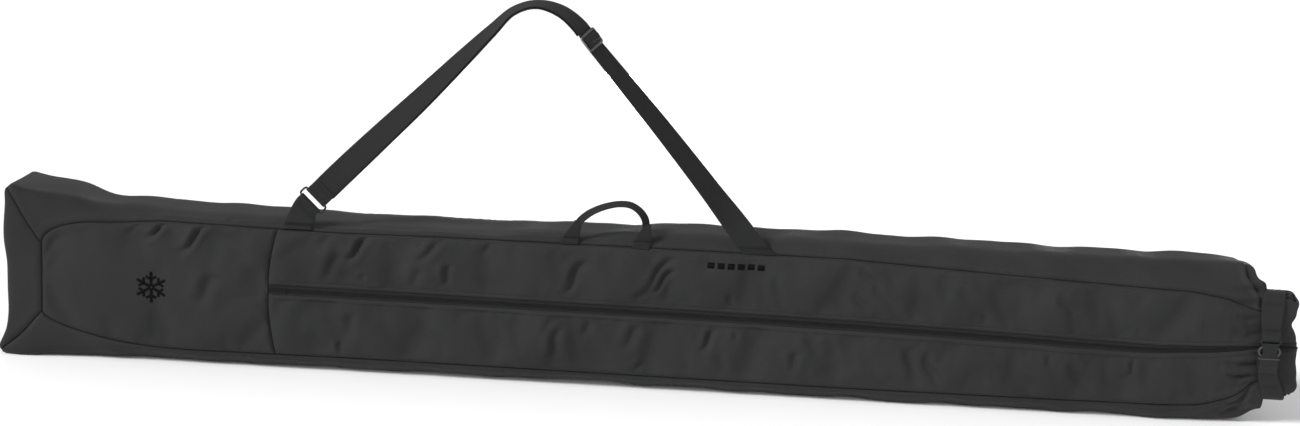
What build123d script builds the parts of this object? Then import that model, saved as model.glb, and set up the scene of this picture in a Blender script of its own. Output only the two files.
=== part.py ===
from build123d import *

import os
from math import asin, atan2, cos, degrees, radians, sin

# Long roll-top bag for two pairs of skis.
#
# Frame: +X along the bag from the closed tip end to the roll-top mouth, -Y out of the
# zipped front face, +Z up. The bag stands on its bottom gusset, with the origin at the
# bottom centre of its bounding box. Millimetres throughout.

# ---- Driving dimensions -------------------------------------------------------------
LENGTH = 2040  # tip end to the rolled mouth
HEIGHT = 256
DEPTH = 140
SKIN = 2.4  # coated fabric with its lining
CORNER_R = 44  # long edges of the filled bag
END_R = 30  # edges around the tip end
BUCKLE_PROUD = 17  # how far the buckle stands out from the front face

LEFT_X = -LENGTH / 2
RIGHT_X = LENGTH / 2
FRONT_Y = -(DEPTH - BUCKLE_PROUD) / 2
BACK_Y = FRONT_Y + DEPTH
MID_Y = (FRONT_Y + BACK_Y) / 2
BODY_RIGHT_X = 880  # where the tube ends and the gathered neck begins
ARC_Y = FRONT_Y + CORNER_R  # centre of the front long-edge arcs
ARC_TOP_Z = HEIGHT - CORNER_R

# Seams of the front panel
SEAM_TOP_Z = 232
SEAM_BOTTOM_Z = 24
SEAM_LEFT_X = -948
NOSE_TOP_ARC = (95, 42)  # half axes of the elliptical corner, along X and Z
NOSE_BOTTOM_ARC = (215, 60)
NOSE_SEAM_X = -590  # nose panel to zipped panels
MITRE_TOP = (SEAM_LEFT_X, 190)
MITRE_BOTTOM = (SEAM_LEFT_X, 76)

# Zip
ZIP_Z = 131
ZIP_SLOT = 13  # visible between the two front panels
TAPE_WIDTH = 15
TAPE = 0.8
COIL_WIDTH = 3.0
COIL_DEPTH = 2.0
COIL_GAP = 1.0  # between the two coils, where the slider's web runs
TAPE_Y = FRONT_Y + SKIN
SLIDER_X = 955  # closed, behind the buckle
ZIP_RIGHT_X = 972

# Neck and roll
NECK_RIGHT_X = 926
NECK_MOUTH = (28, 164)  # depth and height of the flattened mouth
MOUTH_Y = FRONT_Y + NECK_MOUTH[0] / 2
ROLL_X = 928
ROLL_FRONT_Y = FRONT_Y + 6
ROLL_CLOTH = 5.2  # both walls of the flattened collar
ROLL_PITCH = 6.8

# Closure straps and buckle
BUCKLE_X = 955
BUCKLE_FRONT_Y = FRONT_Y - BUCKLE_PROUD
BUCKLE_TOP_Z = 148
BUCKLE_BOTTOM_Z = 104
SOCKET_MOUTH_Z = 118
LOWER_WIDTH = 30
STRAP = 1.8

# Shoulder strap
WEB = 1.8
WEB_WIDTH = 38
STRAP_Y = -58
HINGE_Z = 240
SEWN_Z = HINGE_Z + 1  # the webbing leaves the seam
RING_AT = (-536, 277)  # X and Z
LEG_LEFT_TOP = (-262, 561)
APEX = (-200, 600)
LEG_RIGHT_TOP = (-139, 569)
ANCHOR_AT = (147, HINGE_Z)

# Grab handle
HANDLE_LEFT_X = -135
HANDLE_RIGHT_X = -20
HANDLE_TOP_Z = 298
HANDLE_WIDTH = 21

# Prints on the front, X and Z
BADGE_AT = (-784, 125)
BADGE_R = 26
MARK_AT = (122, 206)

OUT = "parts"
os.makedirs(OUT, exist_ok=True)


def save(piece, name):
    """Labels a finished piece and writes it as one STEP file."""
    piece.part.label = name
    export_step(piece.part, f"{OUT}/{name}.step")


def skin_solid(inset):
    """The filled tube of the bag, closed at the tip end, shrunk by inset on every side."""
    with BuildPart() as solid:
        with BuildSketch(Plane.YZ.offset(BODY_RIGHT_X)):
            with Locations((MID_Y, HEIGHT / 2)):
                RectangleRounded(DEPTH - 2 * inset, HEIGHT - 2 * inset, CORNER_R - inset)
        extrude(amount=LEFT_X + inset - BODY_RIGHT_X)
        fillet(solid.faces().sort_by(Axis.X)[0].edges(), END_R - inset)
    return solid.part


# ---- Sewn shell ---------------------------------------------------------------------
with BuildPart() as shell:
    add(skin_solid(0))
    add(skin_solid(SKIN), mode=Mode.SUBTRACT)


def panel_outline():
    """Face panel in the XZ plane: a long strip with a U-shaped tip end."""
    top_x, top_z = NOSE_TOP_ARC
    low_x, low_z = NOSE_BOTTOM_ARC
    with BuildSketch(Plane.XZ.offset(-MID_Y)) as outline:
        with BuildLine():
            Line((BODY_RIGHT_X, SEAM_TOP_Z), (SEAM_LEFT_X + top_x, SEAM_TOP_Z))
            centre = (SEAM_LEFT_X + top_x, SEAM_TOP_Z - top_z)
            EllipticalCenterArc(centre, top_x, top_z, start_angle=90, arc_size=90)
            Line((SEAM_LEFT_X, SEAM_TOP_Z - top_z), (SEAM_LEFT_X, SEAM_BOTTOM_Z + low_z))
            centre = (SEAM_LEFT_X + low_x, SEAM_BOTTOM_Z + low_z)
            EllipticalCenterArc(centre, low_x, low_z, start_angle=180, arc_size=90)
            Line((SEAM_LEFT_X + low_x, SEAM_BOTTOM_Z), (BODY_RIGHT_X, SEAM_BOTTOM_Z))
            Line((BODY_RIGHT_X, SEAM_BOTTOM_Z), (BODY_RIGHT_X, SEAM_TOP_Z))
        make_face()
    return outline.sketch


def slab(x_low, x_high, z_low, z_high):
    """A block through the whole depth of the bag, for cutting panels out of the shell."""
    return Box(
        x_high - x_low,
        3 * DEPTH,
        z_high - z_low,
        align=(Align.MIN, Align.CENTER, Align.MIN),
        mode=Mode.PRIVATE,
    ).moved(Location((x_low, MID_Y, z_low)))


with BuildPart() as front_zone:
    add(extrude(panel_outline(), amount=DEPTH, mode=Mode.PRIVATE))

with BuildPart() as back_zone:
    add(extrude(panel_outline(), amount=-DEPTH, mode=Mode.PRIVATE))

with BuildPart() as front_face:
    add(shell.part)
    add(front_zone.part, mode=Mode.INTERSECT)

with BuildPart() as nose_panel:
    add(front_face.part)
    add(slab(LEFT_X, NOSE_SEAM_X, 0, HEIGHT), mode=Mode.INTERSECT)
save(nose_panel, "nose_panel")

with BuildPart() as front_upper_panel:
    add(front_face.part)
    add(slab(NOSE_SEAM_X, RIGHT_X, ZIP_Z + ZIP_SLOT / 2, HEIGHT), mode=Mode.INTERSECT)
save(front_upper_panel, "front_upper_panel")

with BuildPart() as front_lower_panel:
    add(front_face.part)
    add(slab(NOSE_SEAM_X, RIGHT_X, 0, ZIP_Z - ZIP_SLOT / 2), mode=Mode.INTERSECT)
save(front_lower_panel, "front_lower_panel")

with BuildPart() as back_panel:
    add(shell.part)
    add(back_zone.part, mode=Mode.INTERSECT)
save(back_panel, "back_panel")

# The strip around the face panels: two gussets mitred to the end panel.
with BuildPart() as strip:
    add(shell.part)
    add(front_zone.part, mode=Mode.SUBTRACT)
    add(back_zone.part, mode=Mode.SUBTRACT)


def mitre_beyond(corner, inner):
    """The point on the mitre line well outside the bag's corner."""
    return tuple(inner[i] + 1.6 * (corner[i] - inner[i]) for i in range(2))


with BuildPart() as end_zone:
    with BuildSketch(Plane.XZ.offset(-MID_Y)):
        with BuildLine():
            Polyline(
                mitre_beyond((LEFT_X, HEIGHT), MITRE_TOP),
                MITRE_TOP,
                MITRE_BOTTOM,
                mitre_beyond((LEFT_X, 0), MITRE_BOTTOM),
                close=True,
            )
        make_face()
    extrude(amount=DEPTH, both=True)

with BuildPart() as end_panel:
    add(strip.part)
    add(end_zone.part, mode=Mode.INTERSECT)
save(end_panel, "end_panel")

with BuildPart() as top_gusset:
    add(strip.part)
    add(end_zone.part, mode=Mode.SUBTRACT)
    add(slab(LEFT_X, RIGHT_X, HEIGHT / 2, HEIGHT), mode=Mode.INTERSECT)
save(top_gusset, "top_gusset")

with BuildPart() as bottom_gusset:
    add(strip.part)
    add(end_zone.part, mode=Mode.SUBTRACT)
    add(slab(LEFT_X, RIGHT_X, 0, HEIGHT / 2), mode=Mode.INTERSECT)
save(bottom_gusset, "bottom_gusset")


# ---- Seam binding inside the shell --------------------------------------------------
BINDING = 1.2
BINDING_WIDTH = 12


def binding(front, top):
    """A tape that stands in from one long seam and covers its raw edges."""
    sin_a = (SEAM_TOP_Z - ARC_TOP_Z) / CORNER_R
    reach = CORNER_R - SKIN - 0.3
    y = FRONT_Y + CORNER_R - reach * cos(asin(sin_a))
    z = ARC_TOP_Z + reach * sin_a
    y = y if front else 2 * MID_Y - y
    z = z if top else HEIGHT - z
    turn = degrees(asin(sin_a))
    lean = (turn if top else -turn) * (-1 if front else 1)
    x_low = SEAM_LEFT_X + (NOSE_TOP_ARC if top else NOSE_BOTTOM_ARC)[0]
    with BuildPart() as tape:
        with Locations(Location(((x_low + BODY_RIGHT_X) / 2, y, z), (lean, 0, 0))):
            Box(
                BODY_RIGHT_X - x_low,
                BINDING_WIDTH,
                BINDING,
                align=(Align.CENTER, Align.MIN if front else Align.MAX, Align.CENTER),
            )
    return tape


for side, is_front in (("front", True), ("back", False)):
    for edge, is_top in (("upper", True), ("lower", False)):
        save(binding(is_front, is_top), f"seam_binding_{side}_{edge}")

# ---- Zip ----------------------------------------------------------------------------
ZIP_LEFT_X = NOSE_SEAM_X + 1

for edge, way in (("upper", 1), ("lower", -1)):
    with BuildPart() as tape:
        middle = ZIP_Z + way * (COIL_GAP / 2 + TAPE_WIDTH / 2)
        with Locations(((ZIP_LEFT_X + ZIP_RIGHT_X) / 2, TAPE_Y + TAPE / 2, middle)):
            Box(ZIP_RIGHT_X - ZIP_LEFT_X, TAPE, TAPE_WIDTH)
    save(tape, f"zipper_tape_{edge}")

    with BuildPart() as coil:
        middle = ZIP_Z + way * (COIL_GAP / 2 + COIL_WIDTH / 2)
        with Locations(
            ((ZIP_LEFT_X + ZIP_RIGHT_X) / 2, TAPE_Y - COIL_DEPTH / 2, middle)
        ):
            Box(ZIP_RIGHT_X - ZIP_LEFT_X, COIL_DEPTH, COIL_WIDTH)
        chamfer(coil.faces().sort_by(Axis.Y)[0].edges().filter_by(Axis.X), 0.8)
    save(coil, f"zipper_coil_{edge}")

STOP_LENGTH = 4
with BuildPart() as zipper_end_stop:
    with Locations((ZIP_LEFT_X + 12, TAPE_Y - COIL_DEPTH - 0.6, ZIP_Z)):
        Box(STOP_LENGTH, 1.2, 2 * COIL_WIDTH + COIL_GAP)
    fillet(zipper_end_stop.edges().filter_by(Axis.Y), 0.8)
save(zipper_end_stop, "zipper_end_stop")

# Slider: a front plate and a back plate joined by a web between the coils.
SLIDER_LENGTH = 16
SLIDER_WIDTH = 11
PLATE = 1.5
PLATE_Y = TAPE_Y - COIL_DEPTH - 0.3  # inner face of the front plate
LUG_R = 2.6
LUG_HEIGHT = 3.4
PULL_HOLE_R = LUG_R - 0.55
PULL_Y = PLATE_Y - PLATE - 0.4

with BuildPart() as zipper_slider:
    with BuildSketch(Plane.XZ.offset(-PLATE_Y)):
        with Locations((SLIDER_X, ZIP_Z)):
            RectangleRounded(SLIDER_LENGTH, SLIDER_WIDTH, 3)
    extrude(amount=PLATE)
    with BuildSketch(Plane.XZ.offset(-(TAPE_Y + TAPE + 0.3))):
        with Locations((SLIDER_X, ZIP_Z)):
            RectangleRounded(SLIDER_LENGTH, SLIDER_WIDTH, 3)
    extrude(amount=-PLATE)
    with Locations((SLIDER_X, PLATE_Y - 0.2, ZIP_Z)):
        Box(
            SLIDER_LENGTH - 8,
            TAPE_Y + TAPE + 0.9 - PLATE_Y,
            COIL_GAP - 0.4,
            align=(Align.CENTER, Align.MIN, Align.CENTER),
        )
    for way in (1, -1):
        with Locations((SLIDER_X, PLATE_Y, ZIP_Z + way * (SLIDER_WIDTH / 2 - 0.55))):
            Box(
                SLIDER_LENGTH - 6,
                TAPE_Y - 0.3 - PLATE_Y,
                1.1,
                align=(Align.CENTER, Align.MIN, Align.CENTER),
            )
    # The rivet that the pull turns on: a shank under a wider head.
    with BuildSketch(Plane.XZ.offset(-(PLATE_Y - PLATE))):
        with Locations((SLIDER_X, ZIP_Z)):
            Circle(PULL_HOLE_R - 0.05)
    extrude(amount=LUG_HEIGHT - 1)
    with BuildSketch(Plane.XZ.offset(-(PLATE_Y - PLATE) + LUG_HEIGHT - 1.2)):
        with Locations((SLIDER_X, ZIP_Z)):
            Circle(LUG_R + 0.7)
    extrude(amount=1)
save(zipper_slider, "zipper_slider")

PULL_LENGTH = 32
PULL_WIDTH = 9
PULL = 1.4
with BuildPart() as zipper_pull:
    with BuildSketch(Plane.XZ.offset(-PULL_Y)):
        with Locations((SLIDER_X, ZIP_Z - PULL_LENGTH / 2 + PULL_WIDTH / 2)):
            SlotOverall(PULL_LENGTH, PULL_WIDTH, rotation=90)
        with Locations((SLIDER_X, ZIP_Z)):
            Circle(PULL_HOLE_R, mode=Mode.SUBTRACT)
        with Locations((SLIDER_X, ZIP_Z - PULL_LENGTH + PULL_WIDTH + 1)):
            SlotOverall(9, 3.6, rotation=90, mode=Mode.SUBTRACT)
    extrude(amount=PULL)
save(zipper_pull, "zipper_pull")


# ---- Gathered neck and rolled collar ------------------------------------------------
def neck_solid(inset):
    """Loft from the bag's full section to the flattened mouth, shrunk by inset."""
    with BuildPart() as solid:
        with BuildSketch(Plane.YZ.offset(BODY_RIGHT_X)):
            with Locations((MID_Y, HEIGHT / 2)):
                RectangleRounded(DEPTH - 2 * inset, HEIGHT - 2 * inset, CORNER_R - inset)
        with BuildSketch(Plane.YZ.offset(NECK_RIGHT_X)):
            with Locations((MOUTH_Y, ZIP_Z)):
                RectangleRounded(
                    NECK_MOUTH[0] - 2 * inset, NECK_MOUTH[1] - 2 * inset, 10 - inset
                )
        loft(ruled=True)
    return solid.part


NECK_ZIP_SLOT = 2 * TAPE_WIDTH + 4
with BuildPart() as collar_neck:
    add(neck_solid(0))
    add(neck_solid(SKIN), mode=Mode.SUBTRACT)
    # The zip runs through the front wall of the neck.
    with Locations((BODY_RIGHT_X - 1, FRONT_Y - 2, ZIP_Z)):
        Box(
            NECK_RIGHT_X - BODY_RIGHT_X + 2,
            SKIN + TAPE + 4,
            NECK_ZIP_SLOT,
            align=(Align.MIN, Align.MIN, Align.CENTER),
            mode=Mode.SUBTRACT,
        )
save(collar_neck, "collar_neck")

# Both walls of the collar, flattened and wound backwards round the stiffener.
RUN = 50  # straight part of each turn
FIRST_R = 18
TURNS = 4  # half turns
with BuildPart() as rolled_collar:
    with BuildSketch(Plane.XY.offset(ZIP_Z - NECK_MOUTH[1] / 2)):
        with BuildLine():
            at = (RIGHT_X - ROLL_CLOTH / 2 - FIRST_R, ROLL_FRONT_Y + ROLL_CLOTH / 2)
            Line((ROLL_X, at[1]), at)
            radius = FIRST_R
            way = 1
            for turn in range(TURNS):
                CenterArc((at[0], at[1] + way * radius), radius, -90 * way, 180)
                at = (at[0], at[1] + 2 * way * radius)
                after = (at[0] - way * (RUN - 6 * turn), at[1])
                Line(at, after)
                at = after
                radius -= ROLL_PITCH / 2
                way = -way
        trace(line_width=ROLL_CLOTH)
    extrude(amount=NECK_MOUTH[1])
save(rolled_collar, "rolled_collar")

# The mouth's stiffening strip lies on the last run of the collar.
STIFFENER = 3
with BuildPart() as mouth_stiffener:
    with BuildSketch(Plane.XZ.offset(-(at[1] + ROLL_CLOTH / 2))):
        with Locations((at[0] - RUN / 4, ZIP_Z)):
            RectangleRounded(RUN / 2, NECK_MOUTH[1] - 8, 4)
    extrude(amount=-STIFFENER)
save(mouth_stiffener, "mouth_stiffener")

TAIL = 1.2
with BuildPart() as zipper_tail:
    with Locations((ZIP_RIGHT_X + 2, ROLL_FRONT_Y, ZIP_Z)):
        Box(26, TAIL, ZIP_SLOT, align=(Align.MIN, Align.MAX, Align.CENTER))
save(zipper_tail, "zipper_tail")

# ---- Side-release buckle ------------------------------------------------------------
BUCKLE_WIDTH = 36
PLATE_THICK = 1.5
CAVITY = 4.6
ARM = 4.0  # thickness of the prongs, front to back
ARM_Y = BUCKLE_FRONT_Y + PLATE_THICK + CAVITY / 2
BAR = 3
WEB_SLOT = 4
SOCKET_DEPTH = 2 * PLATE_THICK + CAVITY
BAR_Z = BUCKLE_TOP_Z - BAR / 2

with BuildPart() as buckle_socket:
    with BuildSketch(Plane.XZ.offset(-BUCKLE_FRONT_Y)):
        with Locations((BUCKLE_X, (SOCKET_MOUTH_Z + BUCKLE_TOP_Z) / 2)):
            RectangleRounded(BUCKLE_WIDTH, BUCKLE_TOP_Z - SOCKET_MOUTH_Z, 4)
    extrude(amount=-SOCKET_DEPTH)
    # The cavity is open at the mouth and at both sides, where the arms are squeezed.
    cavity_top = BUCKLE_TOP_Z - BAR - WEB_SLOT - 3
    with Locations((BUCKLE_X, ARM_Y, SOCKET_MOUTH_Z)):
        Box(
            2 * BUCKLE_WIDTH,
            CAVITY,
            2 * (cavity_top - SOCKET_MOUTH_Z),
            mode=Mode.SUBTRACT,
        )
    # A slim round-edged bar closes the webbing's slot at the top.
    with Locations((BUCKLE_X, ARM_Y, BUCKLE_TOP_Z)):
        Box(BUCKLE_WIDTH - 5, 3 * SOCKET_DEPTH, 2 * (BAR + WEB_SLOT), mode=Mode.SUBTRACT)
    with BuildSketch(Plane.YZ.offset(BUCKLE_X - BUCKLE_WIDTH / 2 + 1)):
        with Locations((ARM_Y, BAR_Z)):
            RectangleRounded(BAR, BAR, 0.7)
    extrude(amount=BUCKLE_WIDTH - 2)
save(buckle_socket, "buckle_socket")

PLUG_TOP_Z = SOCKET_MOUTH_Z - 0.4
PLUG_BAR = 1.5  # behind the webbing
PLUG_SLOT = 2.6
PLUG_DEPTH = 10.9
LOWER_Y = BUCKLE_FRONT_Y + PLUG_DEPTH - PLUG_BAR - PLUG_SLOT / 2
PRONG = 4

with BuildPart() as buckle_plug:
    with BuildSketch(Plane.XZ.offset(-BUCKLE_FRONT_Y)):
        with Locations((BUCKLE_X, (BUCKLE_BOTTOM_Z + PLUG_TOP_Z) / 2)):
            RectangleRounded(BUCKLE_WIDTH + 1, PLUG_TOP_Z - BUCKLE_BOTTOM_Z, 3)
    extrude(amount=-PLUG_DEPTH)
    with Locations((BUCKLE_X, LOWER_Y, BUCKLE_BOTTOM_Z)):
        Box(LOWER_WIDTH + 1, PLUG_SLOT, 3 * (PLUG_TOP_Z - BUCKLE_BOTTOM_Z), mode=Mode.SUBTRACT)
    with BuildSketch(Plane.XZ.offset(-(ARM_Y - ARM / 2))):
        with Locations((BUCKLE_X, PLUG_TOP_Z + 7)):
            Rectangle(PRONG, 16)
    extrude(amount=-ARM)
save(buckle_plug, "buckle_plug")

ARM_ROOT = (10, PLUG_TOP_Z + 2.6)  # from the buckle's middle, and Z
ARM_R = 2.2
for name, way in (("left", -1), ("right", 1)):
    with BuildPart() as arm:
        with BuildSketch(Plane.XZ.offset(-(ARM_Y - ARM / 2))):
            with Locations((BUCKLE_X + way * ARM_ROOT[0], ARM_ROOT[1])):
                Circle(ARM_R)
            with BuildLine():
                Polyline(
                    (BUCKLE_X + way * (ARM_ROOT[0] - ARM_R), ARM_ROOT[1]),
                    (BUCKLE_X + way * (ARM_ROOT[0] + ARM_R), ARM_ROOT[1]),
                    (BUCKLE_X + way * 17.6, ARM_ROOT[1] + 5),
                    (BUCKLE_X + way * 18, ARM_ROOT[1] + 10),
                    (BUCKLE_X + way * 12, ARM_ROOT[1] + 16),
                    (BUCKLE_X + way * 9.5, ARM_ROOT[1] + 16),
                    close=True,
                )
            make_face()
        extrude(amount=-ARM)
    save(arm, f"buckle_arm_{name}")

# ---- Closure straps -----------------------------------------------------------------
LOOP_R = BAR / 2 + STRAP / 2 + 0.1
TAB_SEWN_Z = ZIP_Z + NECK_MOUTH[1] / 2 - 6
with BuildPart() as closure_strap_upper:
    with BuildSketch(Plane.YZ.offset(BUCKLE_X - (BUCKLE_WIDTH - 7) / 2)):
        with BuildLine():
            FilletPolyline(
                (ARM_Y - LOOP_R, BAR_Z + 14),
                (ARM_Y - LOOP_R, BAR_Z - LOOP_R),
                (ARM_Y + LOOP_R, BAR_Z - LOOP_R),
                (ARM_Y + LOOP_R, BAR_Z + 24),
                (ROLL_FRONT_Y - STRAP / 2, TAB_SEWN_Z - 22),
                (ROLL_FRONT_Y - STRAP / 2, TAB_SEWN_Z),
                radius=1.3,
            )
        trace(line_width=STRAP)
    extrude(amount=BUCKLE_WIDTH - 7)
save(closure_strap_upper, "closure_strap_upper")

LOWER_SEWN_Z = ZIP_Z - NECK_MOUTH[1] / 2 + 4
with BuildPart() as closure_strap_lower:
    with BuildSketch(Plane.YZ.offset(BUCKLE_X - LOWER_WIDTH / 2)):
        with BuildLine():
            FilletPolyline(
                (LOWER_Y, PLUG_TOP_Z - 3),
                (LOWER_Y, LOWER_SEWN_Z + 18),
                (ROLL_FRONT_Y - STRAP / 2, LOWER_SEWN_Z + 8),
                (ROLL_FRONT_Y - STRAP / 2, LOWER_SEWN_Z - 2),
                radius=2,
            )
        trace(line_width=STRAP)
    extrude(amount=LOWER_WIDTH)
save(closure_strap_lower, "closure_strap_lower")

# ---- Shoulder strap -----------------------------------------------------------------
LAYER_GAP = 2.4  # centre to centre of the two layers
LEFT_ANGLE = degrees(atan2(LEG_LEFT_TOP[1] - RING_AT[1], LEG_LEFT_TOP[0] - RING_AT[0]))
RIGHT_ANGLE = degrees(atan2(ANCHOR_AT[1] - LEG_RIGHT_TOP[1], ANCHOR_AT[0] - LEG_RIGHT_TOP[0]))
RING_BAR = 4
RING_LONG = 48
RING_SHORT = 17
RING_TO_BAR = (RING_SHORT - RING_BAR) / 2
RING_TAB_LENGTH = 80  # before it is cut off at the seam
RING_TAB_WIDTH = 38
ADJUSTER_LENGTH = 26
LOOP_LEG = 16


def along(point, angle, distance):
    """The point at a distance from another, in the XZ plane."""
    return (
        point[0] + distance * cos(radians(angle)),
        point[1] + distance * sin(radians(angle)),
    )


def web_plane(point, angle, twist, behind):
    """Section plane of the webbing: twist turns its face from -Y to the top."""
    along_x, along_z = cos(radians(angle)), sin(radians(angle))
    side = Vector(-along_z, 0, along_x)
    across = side * cos(radians(twist)) + Vector(0, 1, 0) * sin(radians(twist))
    tangent = Vector(along_x, 0, along_z)
    under = tangent.cross(across) * -1
    origin = Vector(point[0], STRAP_Y, point[1]) + under * behind
    return Plane(origin=origin, x_dir=across, z_dir=tangent)


def webbing(stations, width, behind):
    """A run of webbing through stations of point, angle and twist."""
    with BuildPart() as run:
        for point, angle, twist in stations:
            with BuildSketch(web_plane(point, angle, twist, behind)):
                Rectangle(width, WEB)
        loft(ruled=True)
    return run.part


BAR_AT = along(RING_AT, LEFT_ANGLE, RING_TO_BAR)
LOOP_END = along(BAR_AT, LEFT_ANGLE, LOOP_LEG)
ARCH = [
    (LOOP_END, LEFT_ANGLE, 0),
    (LEG_LEFT_TOP, LEFT_ANGLE, 0),
    (APEX, -2, 70),
    (LEG_RIGHT_TOP, RIGHT_ANGLE, 0),
]
STRAP_END = along(ANCHOR_AT, RIGHT_ANGLE, 24)
RETURN_END = along(LEG_RIGHT_TOP, RIGHT_ANGLE, 12)
ADJUSTER_AT = along(LEG_RIGHT_TOP, RIGHT_ANGLE, 28)

LOOP_R_RING = RING_BAR / 2 + WEB / 2 + 0.2


def bar_loop(bar_at, angle, leg, gap, width):
    """Webbing folded round a bar of the ring, its two layers meeting a leg's length away."""
    direction = Vector(cos(radians(angle)), 0, sin(radians(angle)))
    plane = Plane(
        origin=(bar_at[0], STRAP_Y + LAYER_GAP / 2, bar_at[1]),
        x_dir=direction,
        z_dir=direction.cross(Vector(0, 1, 0)),
    )
    with BuildPart() as loop:
        with BuildSketch(plane):
            with BuildLine():
                FilletPolyline(
                    (leg, -gap / 2),
                    (10, -gap / 2),
                    (2.5, -LOOP_R_RING),
                    (-LOOP_R_RING, -LOOP_R_RING),
                    (-LOOP_R_RING, LOOP_R_RING),
                    (2.5, LOOP_R_RING),
                    (10, gap / 2),
                    (leg, gap / 2),
                    radius=2,
                )
            trace(line_width=WEB)
        extrude(amount=width / 2, both=True)
    return loop.part


with BuildPart() as shoulder_strap:
    add(bar_loop(BAR_AT, LEFT_ANGLE, LOOP_LEG, LAYER_GAP, WEB_WIDTH))
    add(webbing(ARCH + [(STRAP_END, RIGHT_ANGLE, 0)], WEB_WIDTH, 0))
    add(slab(LEFT_X, RIGHT_X, SEWN_Z, 3 * HEIGHT), mode=Mode.INTERSECT)
save(shoulder_strap, "shoulder_strap")

# The webbing's return, from the ring over the top to the adjuster's middle bar.
with BuildPart() as strap_return_layer:
    add(webbing(ARCH + [(RETURN_END, RIGHT_ANGLE, 0)], WEB_WIDTH, LAYER_GAP))
save(strap_return_layer, "strap_return_layer")

with BuildPart() as rectangular_ring:
    ring_plane = Plane(
        origin=(RING_AT[0], STRAP_Y + LAYER_GAP / 2, RING_AT[1]),
        x_dir=(cos(radians(LEFT_ANGLE)), 0, sin(radians(LEFT_ANGLE))),
        z_dir=(0, -1, 0),
    )
    with BuildSketch(ring_plane):
        RectangleRounded(RING_SHORT, RING_LONG, 5)
        RectangleRounded(RING_SHORT - 2 * RING_BAR, RING_LONG - 2 * RING_BAR, 1, mode=Mode.SUBTRACT)
    extrude(amount=RING_BAR / 2, both=True)
    fillet(rectangular_ring.faces().filter_by(Axis.Y).edges(), 0.9)
save(rectangular_ring, "rectangular_ring")

LOWER_BAR_AT = along(RING_AT, LEFT_ANGLE, -RING_TO_BAR)
with BuildPart() as ring_tab:
    add(bar_loop(LOWER_BAR_AT, LEFT_ANGLE + 180, RING_TAB_LENGTH, WEB + 0.2, RING_TAB_WIDTH))
    add(slab(LEFT_X, RIGHT_X, SEWN_Z, 3 * HEIGHT), mode=Mode.INTERSECT)
save(ring_tab, "ring_tab")

# Adjuster: a frame in front of the webbing and a middle bar behind it.
ADJUSTER_BAR = 3
ADJUSTER_SLACK = 0.4
ADJUSTER_FRAME = 2.4
ADJUSTER_INNER = WEB_WIDTH + 2
ADJUSTER_OUTER = ADJUSTER_INNER + 2 * ADJUSTER_BAR


def adjuster_plane(y):
    """Plane square to the bag's front, with X along the right leg of the strap."""
    return Plane(
        origin=(ADJUSTER_AT[0], y, ADJUSTER_AT[1]),
        x_dir=(cos(radians(RIGHT_ANGLE)), 0, sin(radians(RIGHT_ANGLE))),
        z_dir=(0, -1, 0),
    )


frame_back = STRAP_Y - WEB / 2 - ADJUSTER_SLACK
bar_front = STRAP_Y + WEB / 2 + ADJUSTER_SLACK
with BuildPart() as strap_adjuster:
    with BuildSketch(adjuster_plane(frame_back)):
        RectangleRounded(ADJUSTER_LENGTH, ADJUSTER_OUTER, 4)
        Rectangle(ADJUSTER_LENGTH - 2 * ADJUSTER_BAR, ADJUSTER_INNER, mode=Mode.SUBTRACT)
    extrude(amount=ADJUSTER_FRAME)
    with BuildSketch(adjuster_plane(bar_front)):
        Rectangle(ADJUSTER_BAR + 1, ADJUSTER_OUTER)
    extrude(amount=-2)
    with BuildSketch(adjuster_plane(frame_back)):
        for way in (1, -1):
            with Locations((0, way * (ADJUSTER_OUTER - ADJUSTER_BAR + 0.6) / 2)):
                Rectangle(ADJUSTER_BAR + 1, ADJUSTER_BAR - 0.6)
    extrude(amount=frame_back - bar_front)
save(strap_adjuster, "strap_adjuster")

# Where the strap's right end is sewn down, flush with the top gusset.
PATCH = 1.4
PATCH_ANGLE = degrees(asin((HINGE_Z - 1 - ARC_TOP_Z) / CORNER_R))
with BuildPart() as strap_anchor:
    reach = CORNER_R + PATCH / 2 + 0.2
    y = ARC_Y - reach * cos(radians(PATCH_ANGLE))
    z = ARC_TOP_Z + reach * sin(radians(PATCH_ANGLE))
    with Locations(Location((ANCHOR_AT[0] + 2, y, z), (90 - PATCH_ANGLE, 0, 0))):
        Box(WEB_WIDTH + 6, 9, PATCH)
save(strap_anchor, "strap_anchor")

# ---- Grab handle --------------------------------------------------------------------
HANDLE_ARCH = [
    ((HANDLE_LEFT_X, SEWN_Z), 88, 0),
    ((HANDLE_LEFT_X + 2, SEWN_Z + 28), 80, 0),
    ((HANDLE_LEFT_X + 22, HANDLE_TOP_Z - 8), 30, 45),
    ((HANDLE_LEFT_X + 62, HANDLE_TOP_Z), 0, 55),
    ((HANDLE_RIGHT_X - 16, HANDLE_TOP_Z - 10), -42, 45),
    ((HANDLE_RIGHT_X - 2, SEWN_Z + 28), -84, 0),
    ((HANDLE_RIGHT_X, SEWN_Z), -88, 0),
]
with BuildPart() as handle_webbing:
    add(webbing(HANDLE_ARCH, HANDLE_WIDTH, 0))
save(handle_webbing, "handle_webbing")

TAB_BASE = 35
TAB_TOP = 22
TAB_TALL = 26
TAB_CLOTH = 1.2
for name, x in (("left", HANDLE_LEFT_X), ("right", HANDLE_RIGHT_X)):
    with BuildPart() as handle_tab:
        for way in (1, -1):
            face = STRAP_Y + way * WEB / 2
            with BuildSketch(Plane.XZ.offset(-face)):
                with Locations((x, SEWN_Z + TAB_TALL / 2)):
                    side = degrees(atan2(TAB_TALL, (TAB_BASE - TAB_TOP) / 2))
                    Trapezoid(TAB_BASE, TAB_TALL, side)
            extrude(amount=-way * TAB_CLOTH)
    save(handle_tab, f"handle_tab_{name}")

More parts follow.
